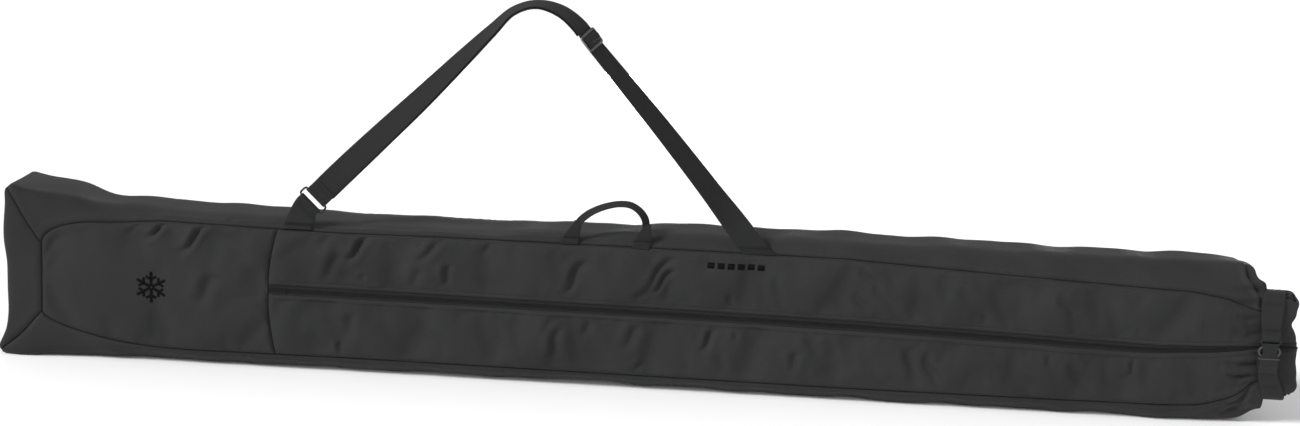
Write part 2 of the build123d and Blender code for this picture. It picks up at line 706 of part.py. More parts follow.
# ---- Prints -------------------------------------------------------------------------
PRINT = 0.4
with BuildPart() as nose_badge:
    with BuildSketch(Plane.XZ.offset(-FRONT_Y)):
        with Locations(BADGE_AT):
            Circle(BADGE_R)
    extrude(amount=PRINT)
save(nose_badge, "nose_badge")

with BuildPart() as side_mark:
    with BuildSketch(Plane.XZ.offset(-FRONT_Y)):
        with Locations(MARK_AT):
            SlotOverall(90, 7)
    extrude(amount=PRINT)
save(side_mark, "side_mark")
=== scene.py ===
import math

import bmesh
import bpy
import numpy as np
from mathutils import Matrix, Vector
from mathutils.bvhtree import BVHTree
from mathutils.kdtree import KDTree


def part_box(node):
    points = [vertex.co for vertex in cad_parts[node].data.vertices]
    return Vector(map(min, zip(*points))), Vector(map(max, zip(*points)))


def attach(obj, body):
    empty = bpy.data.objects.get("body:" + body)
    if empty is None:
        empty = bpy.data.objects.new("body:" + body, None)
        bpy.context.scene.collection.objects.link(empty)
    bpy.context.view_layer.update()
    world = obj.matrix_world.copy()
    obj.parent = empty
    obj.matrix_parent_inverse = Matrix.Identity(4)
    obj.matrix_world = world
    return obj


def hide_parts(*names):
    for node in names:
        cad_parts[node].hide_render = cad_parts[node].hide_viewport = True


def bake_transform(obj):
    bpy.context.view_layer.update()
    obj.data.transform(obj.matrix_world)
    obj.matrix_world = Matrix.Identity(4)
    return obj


# A long roll-top ski bag: sewn cloth panels, zip, webbing and buckle around the CAD frame.
# Everything is in metres, in the frame's own axes: the zipped front faces -Y, and the roll
# is at +X.

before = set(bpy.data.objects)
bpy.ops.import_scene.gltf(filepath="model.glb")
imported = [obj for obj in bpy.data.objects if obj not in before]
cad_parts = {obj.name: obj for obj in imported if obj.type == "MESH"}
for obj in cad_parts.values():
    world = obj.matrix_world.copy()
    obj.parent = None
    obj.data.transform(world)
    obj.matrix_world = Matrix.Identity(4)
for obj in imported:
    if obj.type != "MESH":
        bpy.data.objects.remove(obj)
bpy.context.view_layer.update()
MM = 0.001

# ---- Places read from the frame -------------------------------------------------------
LEFT_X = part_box("end_panel")[0].x
TOP_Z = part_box("top_gusset")[1].z
FRONT_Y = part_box("nose_panel")[0].y
BACK_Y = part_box("back_panel")[1].y
SEAM_LEFT_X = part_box("nose_panel")[0].x
NOSE_SEAM_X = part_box("nose_panel")[1].x
SEAM_LOW_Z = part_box("front_lower_panel")[0].z
SEAM_HIGH_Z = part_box("front_upper_panel")[1].z
ZIP_LOW_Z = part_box("front_lower_panel")[1].z
ZIP_HIGH_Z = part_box("front_upper_panel")[0].z
ZIP_Z = (ZIP_LOW_Z + ZIP_HIGH_Z) / 2
ROLL_LOW, ROLL_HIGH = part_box("rolled_collar")
MID_Y = (FRONT_Y + BACK_Y) / 2

# ---- Cloth of the bag -----------------------------------------------------------------
CLOTH = 1.6 * MM  # thickness of the sewn panels
CORNER_R = 44 * MM  # long edges of the filled bag
TIP_R = 10 * MM  # edges at the pinched corners of the tip end
NOSE_TOP_ARC = (95 * MM, 42 * MM)
NOSE_LOW_ARC = (215 * MM, 60 * MM)
NOSE_LOW_POWER = 1.6  # below 2, the arc's lower run is nearly straight
NECK_START_X = 0.88  # where the bag starts to draw in
SKIN_END_X = 0.962  # where the skin disappears into the roll

# Lines along the bag, as (x, value) in millimetres. The first two are its outline; the shifts
# say how far the seams and the zip wander from their straight places in the frame.
TOP_LINE = [(-1020, 272), (-1006, 274), (-988, 267), (-958, 265), (-914, 260), (-880, 249),
            (-833, 247), (-693, 243), (-503, 238), (-251, 238), (1, 251), (316, 255), (631, 254),
            (884, 255), (922, 256), (936, 250), (947, 229), (962, 209)]
BOTTOM_LINE = [(-1020, 3), (-990, 0), (-931, 0), (-742, 1), (-489, 2), (-237, 3), (79, 2),
               (395, 0), (711, 0), (915, 0), (940, 12), (962, 26)]
HIGH_SHIFT = [(-948, -8), (-853, -8), (-771, 0), (-508, -3), (-322, 0), (-60, 2), (289, 3),
              (529, -7), (762, -15), (834, -17), (881, -24), (901, -29), (919, -37), (940, -44),
              (962, -50)]
LOW_SHIFT = [(-948, -6), (-770, -2), (-471, 0), (313, -2), (642, 0), (815, 2), (863, 5),
             (903, 18), (925, 34), (942, 46), (962, 54)]
ZIP_SHIFT = [(-606, 0), (-400, 0), (70, -2), (320, -4), (540, -8), (700, -12), (780, -13),
             (868, -8), (940, -1), (962, 0)]
FRONT_LINE = [(-1020, -57), (-960, -60), (-700, -61), (880, -61.5), (925, -60), (962, -56)]
BACK_LINE = [(-1020, 68), (-960, 75), (-700, 77), (880, 78), (914, 74), (932, 44), (946, 4),
             (962, -22)]
LEFT_LINE = [(0, -7), (12, -7), (40, 5), (80, 8), (150, 9), (215, 5), (256, 5)]
NOSE_BOW = 13 * MM  # how far the middle of the nose seam leans to the tip
TIP_SEAM_PUSH = 10 * MM  # how far the seam round the tip sits nearer the end
NOSE_BOW_REACH = 70 * MM  # how far from the seams those two fade away
TIP_PUSH_REACH = 50 * MM
SLOT_EXTRA = 5.5 * MM  # how far each hem of the zip is drawn back by the filled bag
SLOT_EXTRA_REACH = 60 * MM  # above and below the zip
SLOT_CLOSED_X = 0.93  # where the hems meet their straight places again

LINE_EASE = 14 * MM  # how far each side of a corner a line is averaged
LINE_SAMPLES = np.linspace(-1, 1, 7)


def line_at(line, x):
    """Height or depth of one of the lines above at x, in metres, with its corners eased."""
    xs, values = np.array(line).T * MM
    x = np.asarray(x, float)
    return sum(np.interp(x + LINE_EASE * s, xs, values) for s in LINE_SAMPLES) / len(LINE_SAMPLES)


def bell(distance, width):
    """1 at no distance, falling smoothly to nothing over about two widths."""
    return np.exp(-((distance / width) ** 2))


def eased(share):
    """A share from 0 to 1 with soft ends."""
    return share * share * (3 - 2 * share)


def unit(rows):
    """Vectors, or one vector, scaled to length 1."""
    return rows / np.linalg.norm(rows, axis=-1, keepdims=True)


def lengths(points):
    """Distance along a line of points from its first."""
    return np.concatenate([[0], np.cumsum(np.linalg.norm(np.diff(points, axis=0), axis=1))])


def linked(name, data):
    """A new object in the scene."""
    obj = bpy.data.objects.new(name, data)
    bpy.context.scene.collection.objects.link(obj)
    return obj


# ---- Camera, light and floor ----------------------------------------------------------
VIEW_TILT = math.radians(12)
VIEW_ROLL = math.radians(3.35)
VIEW_DISTANCE = 3.05
LENS_MM = 55
SENSOR_MM = 36
AIM = Vector((-0.016, -0.07, 0.290))
WORLD_STRENGTH = 0.5
SUN_POWER = 3.2
SUN_ANGLE = math.radians(18)
SUN_WAY = Vector((0.72, 0.52, -0.62))
# The soft lights: name, place, aim, size and power.
AREA_LIGHTS = [("front_light", (0.6, -2.6, 1.2), (0.2, 0, 0.1), (2.2, 0.8), 14),
               ("back_light", (0.9, 3.2, 0.13), (0, 0, 0.13), (2.6, 0.2), 50)]


def make_camera():
    """A camera in front of the bag, a little above it, rolled as the bag hangs."""
    ahead = Vector((0, math.cos(VIEW_TILT), -math.sin(VIEW_TILT)))
    level = Vector((1, 0, 0))
    above = level.cross(ahead)
    right = level * math.cos(VIEW_ROLL) + above * math.sin(VIEW_ROLL)
    up = above * math.cos(VIEW_ROLL) - level * math.sin(VIEW_ROLL)
    data = bpy.data.cameras.new("camera")
    data.lens = LENS_MM
    data.sensor_width = SENSOR_MM
    camera = linked("camera", data)
    turn = Matrix((right, up, -ahead)).transposed().to_4x4()
    camera.matrix_world = Matrix.Translation(AIM - ahead * VIEW_DISTANCE) @ turn
    bpy.context.scene.camera = camera
    bpy.context.scene.view_settings.view_transform = "Standard"


def turned(light, way):
    """Turns a light so that it shines along a direction."""
    light.rotation_euler = way.to_track_quat("-Z", "Y").to_euler()


def make_studio():
    """Pale floor, pale world and soft lights."""
    world = bpy.data.worlds.new("studio")
    bpy.context.scene.world = world
    world.use_nodes = True
    background = world.node_tree.nodes["Background"]
    background.inputs["Color"].default_value = (1, 1, 1, 1)
    background.inputs["Strength"].default_value = WORLD_STRENGTH
    sun = bpy.data.lights.new("sky_light", "SUN")
    sun.energy = SUN_POWER
    sun.angle = SUN_ANGLE
    turned(linked("sky_light", sun), SUN_WAY)
    for name, place, aim, size, power in AREA_LIGHTS:
        data = bpy.data.lights.new(name, "AREA")
        data.shape = "RECTANGLE"
        data.size, data.size_y = size
        data.energy = power
        light = linked(name, data)
        light.location = place
        turned(light, Vector(aim) - Vector(place))
    bpy.ops.mesh.primitive_plane_add(size=60, location=(0, 0, 0))
    floor = bpy.context.object
    floor.name = "floor"
    material = bpy.data.materials.new("floor")
    material.use_nodes = True
    shader = material.node_tree.nodes["Principled BSDF"]
    shader.inputs["Base Color"].default_value = (0.98, 0.98, 0.98, 1)
    shader.inputs["Roughness"].default_value = 0.9
    floor.data.materials.append(material)


# ---- Materials ------------------------------------------------------------------------
NOISE_LOW, NOISE_HIGH = 0.25, 0.75  # most of a noise texture lies between these


class Nodes:
    """Short names for making a material's nodes."""

    def __init__(self, name):
        self.material = bpy.data.materials.new(name)
        self.material.use_nodes = True
        self.tree = self.material.node_tree
        self.shader = self.tree.nodes["Principled BSDF"]
        self.place = self.add("ShaderNodeTexCoord").outputs["Object"]

    def add(self, kind, **values):
        node = self.tree.nodes.new(kind)
        for key, value in values.items():
            setattr(node, key, value)
        return node

    def link(self, source, target):
        self.tree.links.new(source, target)

    def math(self, operation, a, b=None):
        node = self.add("ShaderNodeMath", operation=operation)
        for socket, value in zip(node.inputs, (a, b)):
            if value is None:
                continue
            if isinstance(value, (int, float)):
                socket.default_value = value
            else:
                self.link(value, socket)
        return node.outputs[0]

    def noise(self, scale, detail=2.0, roughness=0.5):
        node = self.add("ShaderNodeTexNoise")
        node.inputs["Scale"].default_value = scale
        node.inputs["Detail"].default_value = detail
        node.inputs["Roughness"].default_value = roughness
        self.link(self.place, node.inputs["Vector"])
        return node.outputs["Fac"]

    def spread(self, value, low, high):
        """Maps a noise on to low to high."""
        node = self.add("ShaderNodeMapRange")
        for socket, number in zip(("From Min", "From Max", "To Min", "To Max"),
                                  (NOISE_LOW, NOISE_HIGH, low, high)):
            node.inputs[socket].default_value = number
        self.link(value, node.inputs["Value"])
        return node.outputs["Result"]

    def tint(self, colour, factor):
        """The colour times a factor near 1."""
        node = self.add("ShaderNodeVectorMath", operation="SCALE")
        node.inputs[0].default_value = colour
        self.link(factor, node.inputs["Scale"])
        self.link(node.outputs["Vector"], self.shader.inputs["Base Color"])

    def bump(self, height, distance, strength=1.0, after=None):
        node = self.add("ShaderNodeBump")
        node.inputs["Strength"].default_value = strength
        node.inputs["Distance"].default_value = distance
        self.link(height, node.inputs["Height"])
        if after is not None:
            self.link(after, node.inputs["Normal"])
        return node.outputs["Normal"]


def thread_waves(m, pitch_u, pitch_v):
    """Sine waves along the two thread directions of a piece whose UVs are in metres."""
    uv = m.add("ShaderNodeUVMap", uv_map="cloth")
    parts = m.add("ShaderNodeSeparateXYZ")
    m.link(uv.outputs["UV"], parts.inputs[0])
    return [m.math("SINE", m.math("MULTIPLY", parts.outputs[axis], 2 * math.pi / pitch))
            for axis, pitch in (("X", pitch_u), ("Y", pitch_v))]


def cloth_material(name, colour, roughness=0.78, sheen=0.04):
    """Matt plain-weave polyester: threads, melange, soft stains of tone and fine rumple."""
    m = Nodes(name)
    u, v = thread_waves(m, 1.1 * MM, 1.1 * MM)
    weave = m.math("MULTIPLY", u, v)
    broad = m.noise(8, 4, 0.6)
    melange = m.noise(900, 1)
    tone = m.math("MULTIPLY", m.spread(broad, 0.8, 1.2), m.spread(melange, 0.86, 1.14))
    tone = m.math("MULTIPLY", tone, m.math("ADD", m.math("MULTIPLY", weave, 0.05), 1))
    m.tint(colour, tone)
    m.link(m.spread(broad, roughness - 0.05, roughness + 0.05), m.shader.inputs["Roughness"])
    rumple = m.bump(m.noise(60, 4, 0.6), 0.8 * MM, 0.35)
    m.link(m.bump(weave, 0.12 * MM, 0.6, rumple), m.shader.inputs["Normal"])
    m.shader.inputs["Sheen Weight"].default_value = sheen
    m.shader.inputs["Sheen Roughness"].default_value = 0.45
    m.shader.inputs["Specular IOR Level"].default_value = 0.16
    return m.material


def webbing_material(name, colour, rib=2.2 * MM, yarn=1.5 * MM):
    """Ribbed webbing: raised lengthwise ribs crossed by yarns."""
    m = Nodes(name)
    u, v = thread_waves(m, yarn, rib)
    cross = m.math("MULTIPLY", u, v)
    height = m.math("ADD", m.math("MULTIPLY", m.math("ABSOLUTE", v), 0.6), cross)
    tone = m.math("ADD", m.math("MULTIPLY", height, 0.12), 0.95)
    tone = m.math("MULTIPLY", tone, m.spread(m.noise(1200, 1), 0.85, 1.15))
    m.tint(colour, tone)
    m.link(m.spread(m.noise(30, 2), 0.5, 0.62), m.shader.inputs["Roughness"])
    m.link(m.bump(height, 0.3 * MM, 0.7), m.shader.inputs["Normal"])
    m.shader.inputs["Sheen Weight"].default_value = 0.02
    m.shader.inputs["Specular IOR Level"].default_value = 0.16
    return m.material


def plastic_material(name, colour, roughness=0.38, gloss=0.3, grain=0.05 * MM):
    """Moulded plastic with a fine grain and slightly rubbed patches."""
    m = Nodes(name)
    worn = m.noise(120, 4, 0.65)
    m.tint(colour, m.spread(worn, 0.85, 1.25))
    m.link(m.spread(worn, roughness - 0.06, roughness + 0.1), m.shader.inputs["Roughness"])
    m.link(m.bump(m.noise(1800, 2), grain, 0.5), m.shader.inputs["Normal"])
    m.shader.inputs["Specular IOR Level"].default_value = gloss
    return m.material


def metal_material(name, colour, roughness=0.3):
    """Plated wire with faint draw marks."""
    m = Nodes(name)
    marks = m.noise(300, 5, 0.7)
    m.tint(colour, m.spread(marks, 0.8, 1.15))
    m.link(m.spread(marks, roughness - 0.08, roughness + 0.1), m.shader.inputs["Roughness"])
    m.link(m.bump(marks, 0.05 * MM, 0.4), m.shader.inputs["Normal"])
    m.shader.inputs["Metallic"].default_value = 1.0
    return m.material


CLOTH_MATERIAL = cloth_material("shell_cloth", (0.0205, 0.0207, 0.0215))
GUSSET_MATERIAL = cloth_material("gusset_cloth", (0.0195, 0.0197, 0.0205), 0.74, 0.05)
# The bindings' near-black cloth. The same colour on the beads laid in the seams is painted shade,
# the shadow at the bottom of each seam.
BINDING_AND_SEAM_SHADE_MATERIAL = cloth_material("binding_and_seam_shade_cloth", (0.006, 0.006, 0.0065), 0.8, 0.0)
TAPE_MATERIAL = webbing_material("zip_tape", (0.0155, 0.0157, 0.0163), 0.8 * MM, 0.7 * MM)
WEB_MATERIAL = webbing_material("strap_webbing", (0.0125, 0.0127, 0.0133))
PLASTIC_MATERIAL = plastic_material("black_acetal", (0.012, 0.0123, 0.013), 0.42, 0.16)
COIL_MATERIAL = plastic_material("zip_coil", (0.013, 0.013, 0.0138), 0.45, 0.2)
PULL_MATERIAL = plastic_material("zip_pull", (0.02, 0.02, 0.021), 0.55)
RING_MATERIAL = metal_material("ring_wire", (0.035, 0.035, 0.037), 0.36)
SLIDER_MATERIAL = metal_material("zip_slider", (0.02, 0.02, 0.021), 0.4)
PRINT_MATERIAL = plastic_material("flat_print", (0.0025, 0.0025, 0.003), 0.6, 0.06)
STIFFENER_MATERIAL = plastic_material("stiffener", (0.04, 0.04, 0.04), 0.6)
THREAD_MATERIAL = plastic_material("sewing_thread", (0.017, 0.017, 0.018), 0.6, 0.12)
TAB_MATERIAL = webbing_material("tab_tape", (0.0125, 0.0127, 0.0133), 1.4 * MM, 1.1 * MM)
CLOSURE_MATERIAL = webbing_material("closure_webbing", (0.0165, 0.0167, 0.0173), 1.3 * MM,
                                    1.2 * MM)
ADJUSTER_MATERIAL = metal_material("adjuster_metal", (0.16, 0.16, 0.165), 0.4)
# A lighter copy of the black acetal, used on the plug's lip and the buckle's arms: painted
# highlight along the buckle's edges.
HIGHLIGHT_EDGE_MATERIAL = plastic_material("painted_highlight_acetal", (0.042, 0.043, 0.045), 0.38, 0.2)


# ---- Mesh helpers ---------------------------------------------------------------------
def mesh_object(name, points, faces, uvs=None, material=None):
    """A mesh object from points, faces and, for each face corner, its cloth UV in metres."""
    mesh = bpy.data.meshes.new(name)
    mesh.from_pydata([tuple(p) for p in points], [], [tuple(f) for f in faces])
    if uvs is not None:
        layer = mesh.uv_layers.new(name="cloth")
        layer.data.foreach_set("uv", np.asarray(uvs, np.float32).ravel())
    if material is not None:
        mesh.materials.append(material)
    mesh.polygons.foreach_set("use_smooth", [True] * len(mesh.polygons))
    return linked(name, mesh)


def settle(obj):
    """Applies every modifier of an object to its mesh."""
    graph = bpy.context.evaluated_depsgraph_get()
    mesh = bpy.data.meshes.new_from_object(obj.evaluated_get(graph))
    mesh.name = obj.name
    old = obj.data
    obj.modifiers.clear()
    obj.data = mesh
    bpy.data.meshes.remove(old)


def thicken(obj, thickness, offset=-1):
    """Adds a thickness to a surface: inwards, or to both sides at offset 0."""
    thick = obj.modifiers.new("thick", "SOLIDIFY")
    thick.thickness = thickness
    thick.offset = offset


def face_outwards(mesh, weld=None):
    """Turns all faces outwards, after joining points nearer than weld."""
    work = bmesh.new()
    work.from_mesh(mesh)
    if weld is not None:
        bmesh.ops.remove_doubles(work, verts=work.verts, dist=weld)
    bmesh.ops.recalc_face_normals(work, faces=work.faces)
    work.to_mesh(mesh)
    work.free()


def read(items, key, width=1, kind=float):
    """One property of a mesh's items as an array, in rows where it has several numbers."""
    out = np.zeros(len(items) * width, kind)
    items.foreach_get(key, out)
    return out.reshape(-1, width) if width > 1 else out


def points_of(obj):
    return read(obj.data.vertices, "co", 3)


def set_points(obj, points):
    obj.data.vertices.foreach_set("co", np.asarray(points, np.float32).ravel())
    obj.data.update()


def grid_quads(rows, columns):
    """Faces of a grid of points, numbered row by row."""
    index = np.arange(rows * columns).reshape(rows, columns)
    quads = [index[:-1, :-1], index[1:, :-1], index[1:, 1:], index[:-1, 1:]]
    return np.stack(quads, axis=-1).reshape(-1, 4)


def tube(name, rings, material, uv=None, closed=False):
    """A skin over rings of points, capped unless its ends join."""
    count, around = rings.shape[:2]
    index = np.arange(count * around).reshape(count, around)
    following = np.roll(index, -1, axis=1)
    quads = [index, following, np.roll(following, -1, axis=0), np.roll(index, -1, axis=0)]
    quads = np.stack(quads, axis=-1)
    faces = [tuple(quad) for quad in (quads if closed else quads[:-1]).reshape(-1, 4)]
    if not closed:
        faces += [tuple(index[0][::-1]), tuple(index[-1])]
    if uv is not None:
        uv = uv[[corner for face in faces for corner in face]]
    piece = mesh_object(name, rings.reshape(-1, 3), faces, uv, material)
    face_outwards(piece.data)
    return piece


# ---- The skin: one welded grid of sewn panels -------------------------------------------
PANEL_COUNT = 8
FRONT, BACK, TOP, BOTTOM, END, UPPER, LOWER, ZIP_BAND = range(PANEL_COUNT)
GRID = 8 * MM


def stations(start, end, step, tight_start=(), tight_end=()):
    """Positions from start to end about a step apart, with finer steps beside the ends."""
    inner_start, inner_end = start + sum(tight_start), end - sum(tight_end)
    count = max(1, round((inner_end - inner_start) / step))
    middle = list(np.linspace(inner_start, inner_end, count + 1))
    head = list(start + np.cumsum((0,) + tuple(tight_start))[:-1])
    tail = list(end - np.cumsum((0,) + tuple(tight_end))[:-1][::-1])
    return np.array(head + middle + tail)


def skin_columns():
    """X of the columns, closer together round the nose seam and in the neck."""
    quarter = np.linspace(0, math.pi / 2, 13)[:-1]
    arc = SEAM_LEFT_X + NOSE_TOP_ARC[0] * (1 - np.cos(quarter))
    nose_end = SEAM_LEFT_X + NOSE_TOP_ARC[0]
    nose = stations(nose_end, NOSE_SEAM_X, GRID, (), (4 * MM, 2 * MM))[:-1]
    body = stations(NOSE_SEAM_X, NECK_START_X, GRID, (2 * MM, 4 * MM), ())[:-1]
    neck = stations(NECK_START_X, SKIN_END_X, GRID / 2)
    return np.concatenate([arc, nose, body, neck])


def skin_rows():
    """Canonical heights of the rows of a face panel, with two rows along the zip."""
    fine = (1.5 * MM, 2.5 * MM, 4 * MM)
    hem = (1.2 * MM, 2.4 * MM, 4 * MM)
    low = stations(SEAM_LOW_Z, ZIP_LOW_Z, GRID, fine, hem)
    high = stations(ZIP_HIGH_Z, SEAM_HIGH_Z, GRID, hem, fine)
    return np.concatenate([low, high])


def nose_limits(x):
    """Canonical lower and upper seam heights of a face panel at x."""
    a, b = NOSE_TOP_ARC
    u = np.clip(1 - (x - SEAM_LEFT_X) / a, 0, 1)
    high = SEAM_HIGH_Z - b + b * np.sqrt(1 - u**2)
    a, b = NOSE_LOW_ARC
    u = np.clip(1 - (x - SEAM_LEFT_X) / a, 0, 1)
    power = NOSE_LOW_POWER
    low = SEAM_LOW_Z + b - b * (1 - u**power) ** (1 / power)
    return low, high


OUT_STEPS = 11  # from a seam out to the edge of the bag
DEPTH_STEPS = 19  # across the depth of the bag
GUSSET_OUT = 24 * MM  # about how far a gusset runs from its seam to the edge of the bag
END_OUT = 72 * MM  # the same for the strip round the tip


def strip_profile():
    """How far out (0 to 1) and how far back (0 to 1) each row of a gusset strip lies."""
    rise = np.linspace(0, 1, OUT_STEPS + 1)
    out = np.concatenate([rise, np.ones(DEPTH_STEPS - 1), np.linspace(1, 0, OUT_STEPS + 1)])
    across = np.linspace(0, 1, DEPTH_STEPS + 1)
    back = np.concatenate([np.zeros(OUT_STEPS), across, np.ones(OUT_STEPS)])
    return out, back


def rounded(points):
    """Pulls points of the box-shaped bag on to its rounded form."""
    p = points.copy()
    reach = np.clip((p[:, 0] - LEFT_X) / 0.2, 0, 1)
    r = TIP_R + (CORNER_R - TIP_R) * eased(reach)
    middle = np.array([0, MID_Y, TOP_Z / 2])
    half = np.array([0, (BACK_Y - FRONT_Y) / 2, TOP_Z / 2])
    offset = np.zeros_like(p)
    offset[:, 0] = np.minimum(p[:, 0] - (LEFT_X + r), 0)
    for axis in (1, 2):
        d = p[:, axis] - middle[axis]
        offset[:, axis] = np.sign(d) * np.maximum(np.abs(d) - (half[axis] - r), 0)
    length = np.linalg.norm(offset, axis=1)
    outside = length > r
    scale = np.where(outside, r / np.maximum(length, 1e-9), 1)
    return p + offset * (scale - 1)[:, None]


def slot_extra(x):
    """How far the zip's hems are drawn back at x; less towards the roll."""
    return SLOT_EXTRA * np.clip((SLOT_CLOSED_X - np.asarray(x, float)) / 0.2, 0, 1) ** 0.7


def shaped(points):
    """Moves points of the canonical bag on to the real outline, seam and depth lines."""
    x, y, z = points.T
    low_seam, high_seam = nose_limits(np.maximum(x, SEAM_LEFT_X))
    levels = [np.zeros_like(x), low_seam, np.full_like(x, ZIP_Z), high_seam, np.full_like(x, TOP_Z)]
    targets = [line_at(BOTTOM_LINE, x), low_seam + line_at(LOW_SHIFT, x),
               ZIP_Z + line_at(ZIP_SHIFT, x), high_seam + line_at(HIGH_SHIFT, x),
               line_at(TOP_LINE, x)]
    out_z = np.zeros_like(z)
    for (a, b), (ta, tb) in zip(zip(levels, levels[1:]), zip(targets, targets[1:])):
        share = (z - a) / np.maximum(b - a, 1e-6)
        out_z = np.where((z >= a) & (z <= b), ta + share * (tb - ta), out_z)
    back_share = (y - FRONT_Y) / (BACK_Y - FRONT_Y)
    front, back = line_at(FRONT_LINE, x), line_at(BACK_LINE, x)
    out_y = front + back_share * (back - front)
    near_left = np.clip((SEAM_LEFT_X + 0.03 - x) / 0.09, 0, 1)
    height = (z - ZIP_Z) / (SEAM_HIGH_Z - ZIP_Z)
    on_front = np.clip(1 - 2 * back_share, 0, 1)
    near_nose_seam = bell(x - NOSE_SEAM_X, NOSE_BOW_REACH) * on_front
    out_x = x + near_left * line_at(LEFT_LINE, z)
    out_x -= NOSE_BOW * np.clip(1 - height**2, 0, 1) * near_nose_seam
    out_x -= TIP_SEAM_PUSH * (bell(x - SEAM_LEFT_X, TIP_PUSH_REACH) * on_front)
    beyond = (np.abs(z - ZIP_Z) - (ZIP_HIGH_Z - ZIP_Z)) / SLOT_EXTRA_REACH
    out_z += slot_extra(x) * np.sign(z - ZIP_Z) * np.clip(1 - np.maximum(beyond, 0), 0, 1)
    return np.stack([out_x, out_y, out_z], axis=1)


def run_over(a, b):
    """Distance along a line of points (a, b) from its first."""
    return np.concatenate([[0], np.cumsum(np.hypot(np.diff(a), np.diff(b)))])


def skin_patches():
    """The five grids of the skin: points, UVs and panel number, ready to be welded."""
    xs, zs = skin_columns(), skin_rows()
    low, high = nose_limits(xs)
    share = (zs - SEAM_LOW_Z) / (SEAM_HIGH_Z - SEAM_LOW_Z)
    face_z = low[:, None] + share[None, :] * (high - low)[:, None]
    face_x = np.repeat(xs[:, None], len(zs), axis=1)
    patches = []
    for panel, y in ((FRONT, FRONT_Y), (BACK, BACK_Y)):
        points = np.stack([face_x, np.full_like(face_x, y), face_z], axis=-1)
        patches.append((panel, points, np.stack([face_x, face_z], axis=-1)))
    out, back = strip_profile()
    depth = FRONT_Y + back * (BACK_Y - FRONT_Y)
    for panel, seam, edge_z, (arc, _) in ((TOP, high, TOP_Z, NOSE_TOP_ARC),
                                          (BOTTOM, low, 0.0, NOSE_LOW_ARC)):
        run = run_over(xs, seam)
        arc_run = np.interp(SEAM_LEFT_X + arc, xs, run)
        edge_x = np.where(run < arc_run, LEFT_X + run / arc_run * (SEAM_LEFT_X + arc - LEFT_X), xs)
        px = xs[:, None] + out[None, :] * (edge_x - xs)[:, None]
        pz = seam[:, None] + out[None, :] * (edge_z - seam)[:, None]
        py = np.repeat(depth[None, :], len(xs), axis=0)
        points = np.stack([px, py, pz], axis=-1)
        across = run_over(out * GUSSET_OUT, depth)
        uv = np.stack(np.broadcast_arrays(xs[:, None], across[None, :]), axis=-1)
        patches.append((panel, points, uv))
    seam_z = face_z[0]
    edge_z = np.interp(seam_z, (seam_z[0], seam_z[-1]), (0, TOP_Z))
    px = np.repeat((SEAM_LEFT_X + out * (LEFT_X - SEAM_LEFT_X))[None, :], len(seam_z), axis=0)
    pz = seam_z[:, None] + out[None, :] * (edge_z - seam_z)[:, None]
    py = np.repeat(depth[None, :], len(seam_z), axis=0)
    across = run_over(out * END_OUT, depth)
    uv = np.stack(np.broadcast_arrays(across[None, :], pz), axis=-1)
    patches.append((END, np.stack([px, py, pz], axis=-1), uv))
    return patches


def build_skin():
    """The whole skin as one welded mesh whose material index is the panel number."""
    points, faces, uvs, panels = [], [], [], []
    count = 0
    for panel, grid, uv in skin_patches():
        rows, columns = grid.shape[:2]
        points.append(shaped(rounded(grid.reshape(-1, 3))))
        quads = grid_quads(rows, columns)
        if panel in (BACK, TOP, END):
            quads = quads[:, ::-1]
        middle = grid.reshape(-1, 3)[quads].mean(axis=1)
        names = np.full(len(quads), panel)
        if panel == FRONT:
            zipped = middle[:, 0] > NOSE_SEAM_X
            names[zipped & (middle[:, 2] > ZIP_HIGH_Z)] = UPPER
            names[zipped & (middle[:, 2] < ZIP_LOW_Z)] = LOWER
            names[zipped & (np.abs(middle[:, 2] - ZIP_Z) < (ZIP_HIGH_Z - ZIP_Z))] = ZIP_BAND
        panels.append(names)
        uvs.append(uv.reshape(-1, 2)[quads.ravel()])
        faces.append(quads + count)
        count += rows * columns
    skin = mesh_object("skin", np.concatenate(points), np.concatenate(faces), np.concatenate(uvs))
    for panel in range(PANEL_COUNT):
        skin.data.materials.append(CLOTH_MATERIAL)
    skin.data.polygons.foreach_set("material_index", np.concatenate(panels).astype(np.int32))
    face_outwards(skin.data, 0.05 * MM)
    return skin


def seam_vertices(mesh):
    """The lowest and the highest panel number round each vertex, which differ on a seam."""
    panel_of = read(mesh.polygons, "material_index", 1, np.int32)
    corner = read(mesh.loops, "vertex_index", 1, np.int32)
    panel_of = np.repeat(panel_of, read(mesh.polygons, "loop_total", 1, np.int32))
    low = np.full(len(mesh.vertices), PANEL_COUNT)
    high = np.full(len(mesh.vertices), -1)
    np.minimum.at(low, corner, panel_of)
    np.maximum.at(high, corner, panel_of)
    return low, high


def normals_of(obj):
    return read(obj.data.vertices, "normal", 3)


def group_of(obj, name, weights):
    """A vertex group with one weight for each vertex, in 200 steps."""
    group = obj.vertex_groups.new(name=name)
    steps = np.round(np.asarray(weights) * 200).astype(int)
    for step in np.unique(steps):
        if step > 0:
            group.add(np.nonzero(steps == step)[0].tolist(), step / 200, "REPLACE")


SIM_FRAMES = 22
TRAVEL_CAP = 7 * MM  # no point moves further than this
SEAM_CALM = 16 * MM  # nearer than this to a seam, the cloth moves less
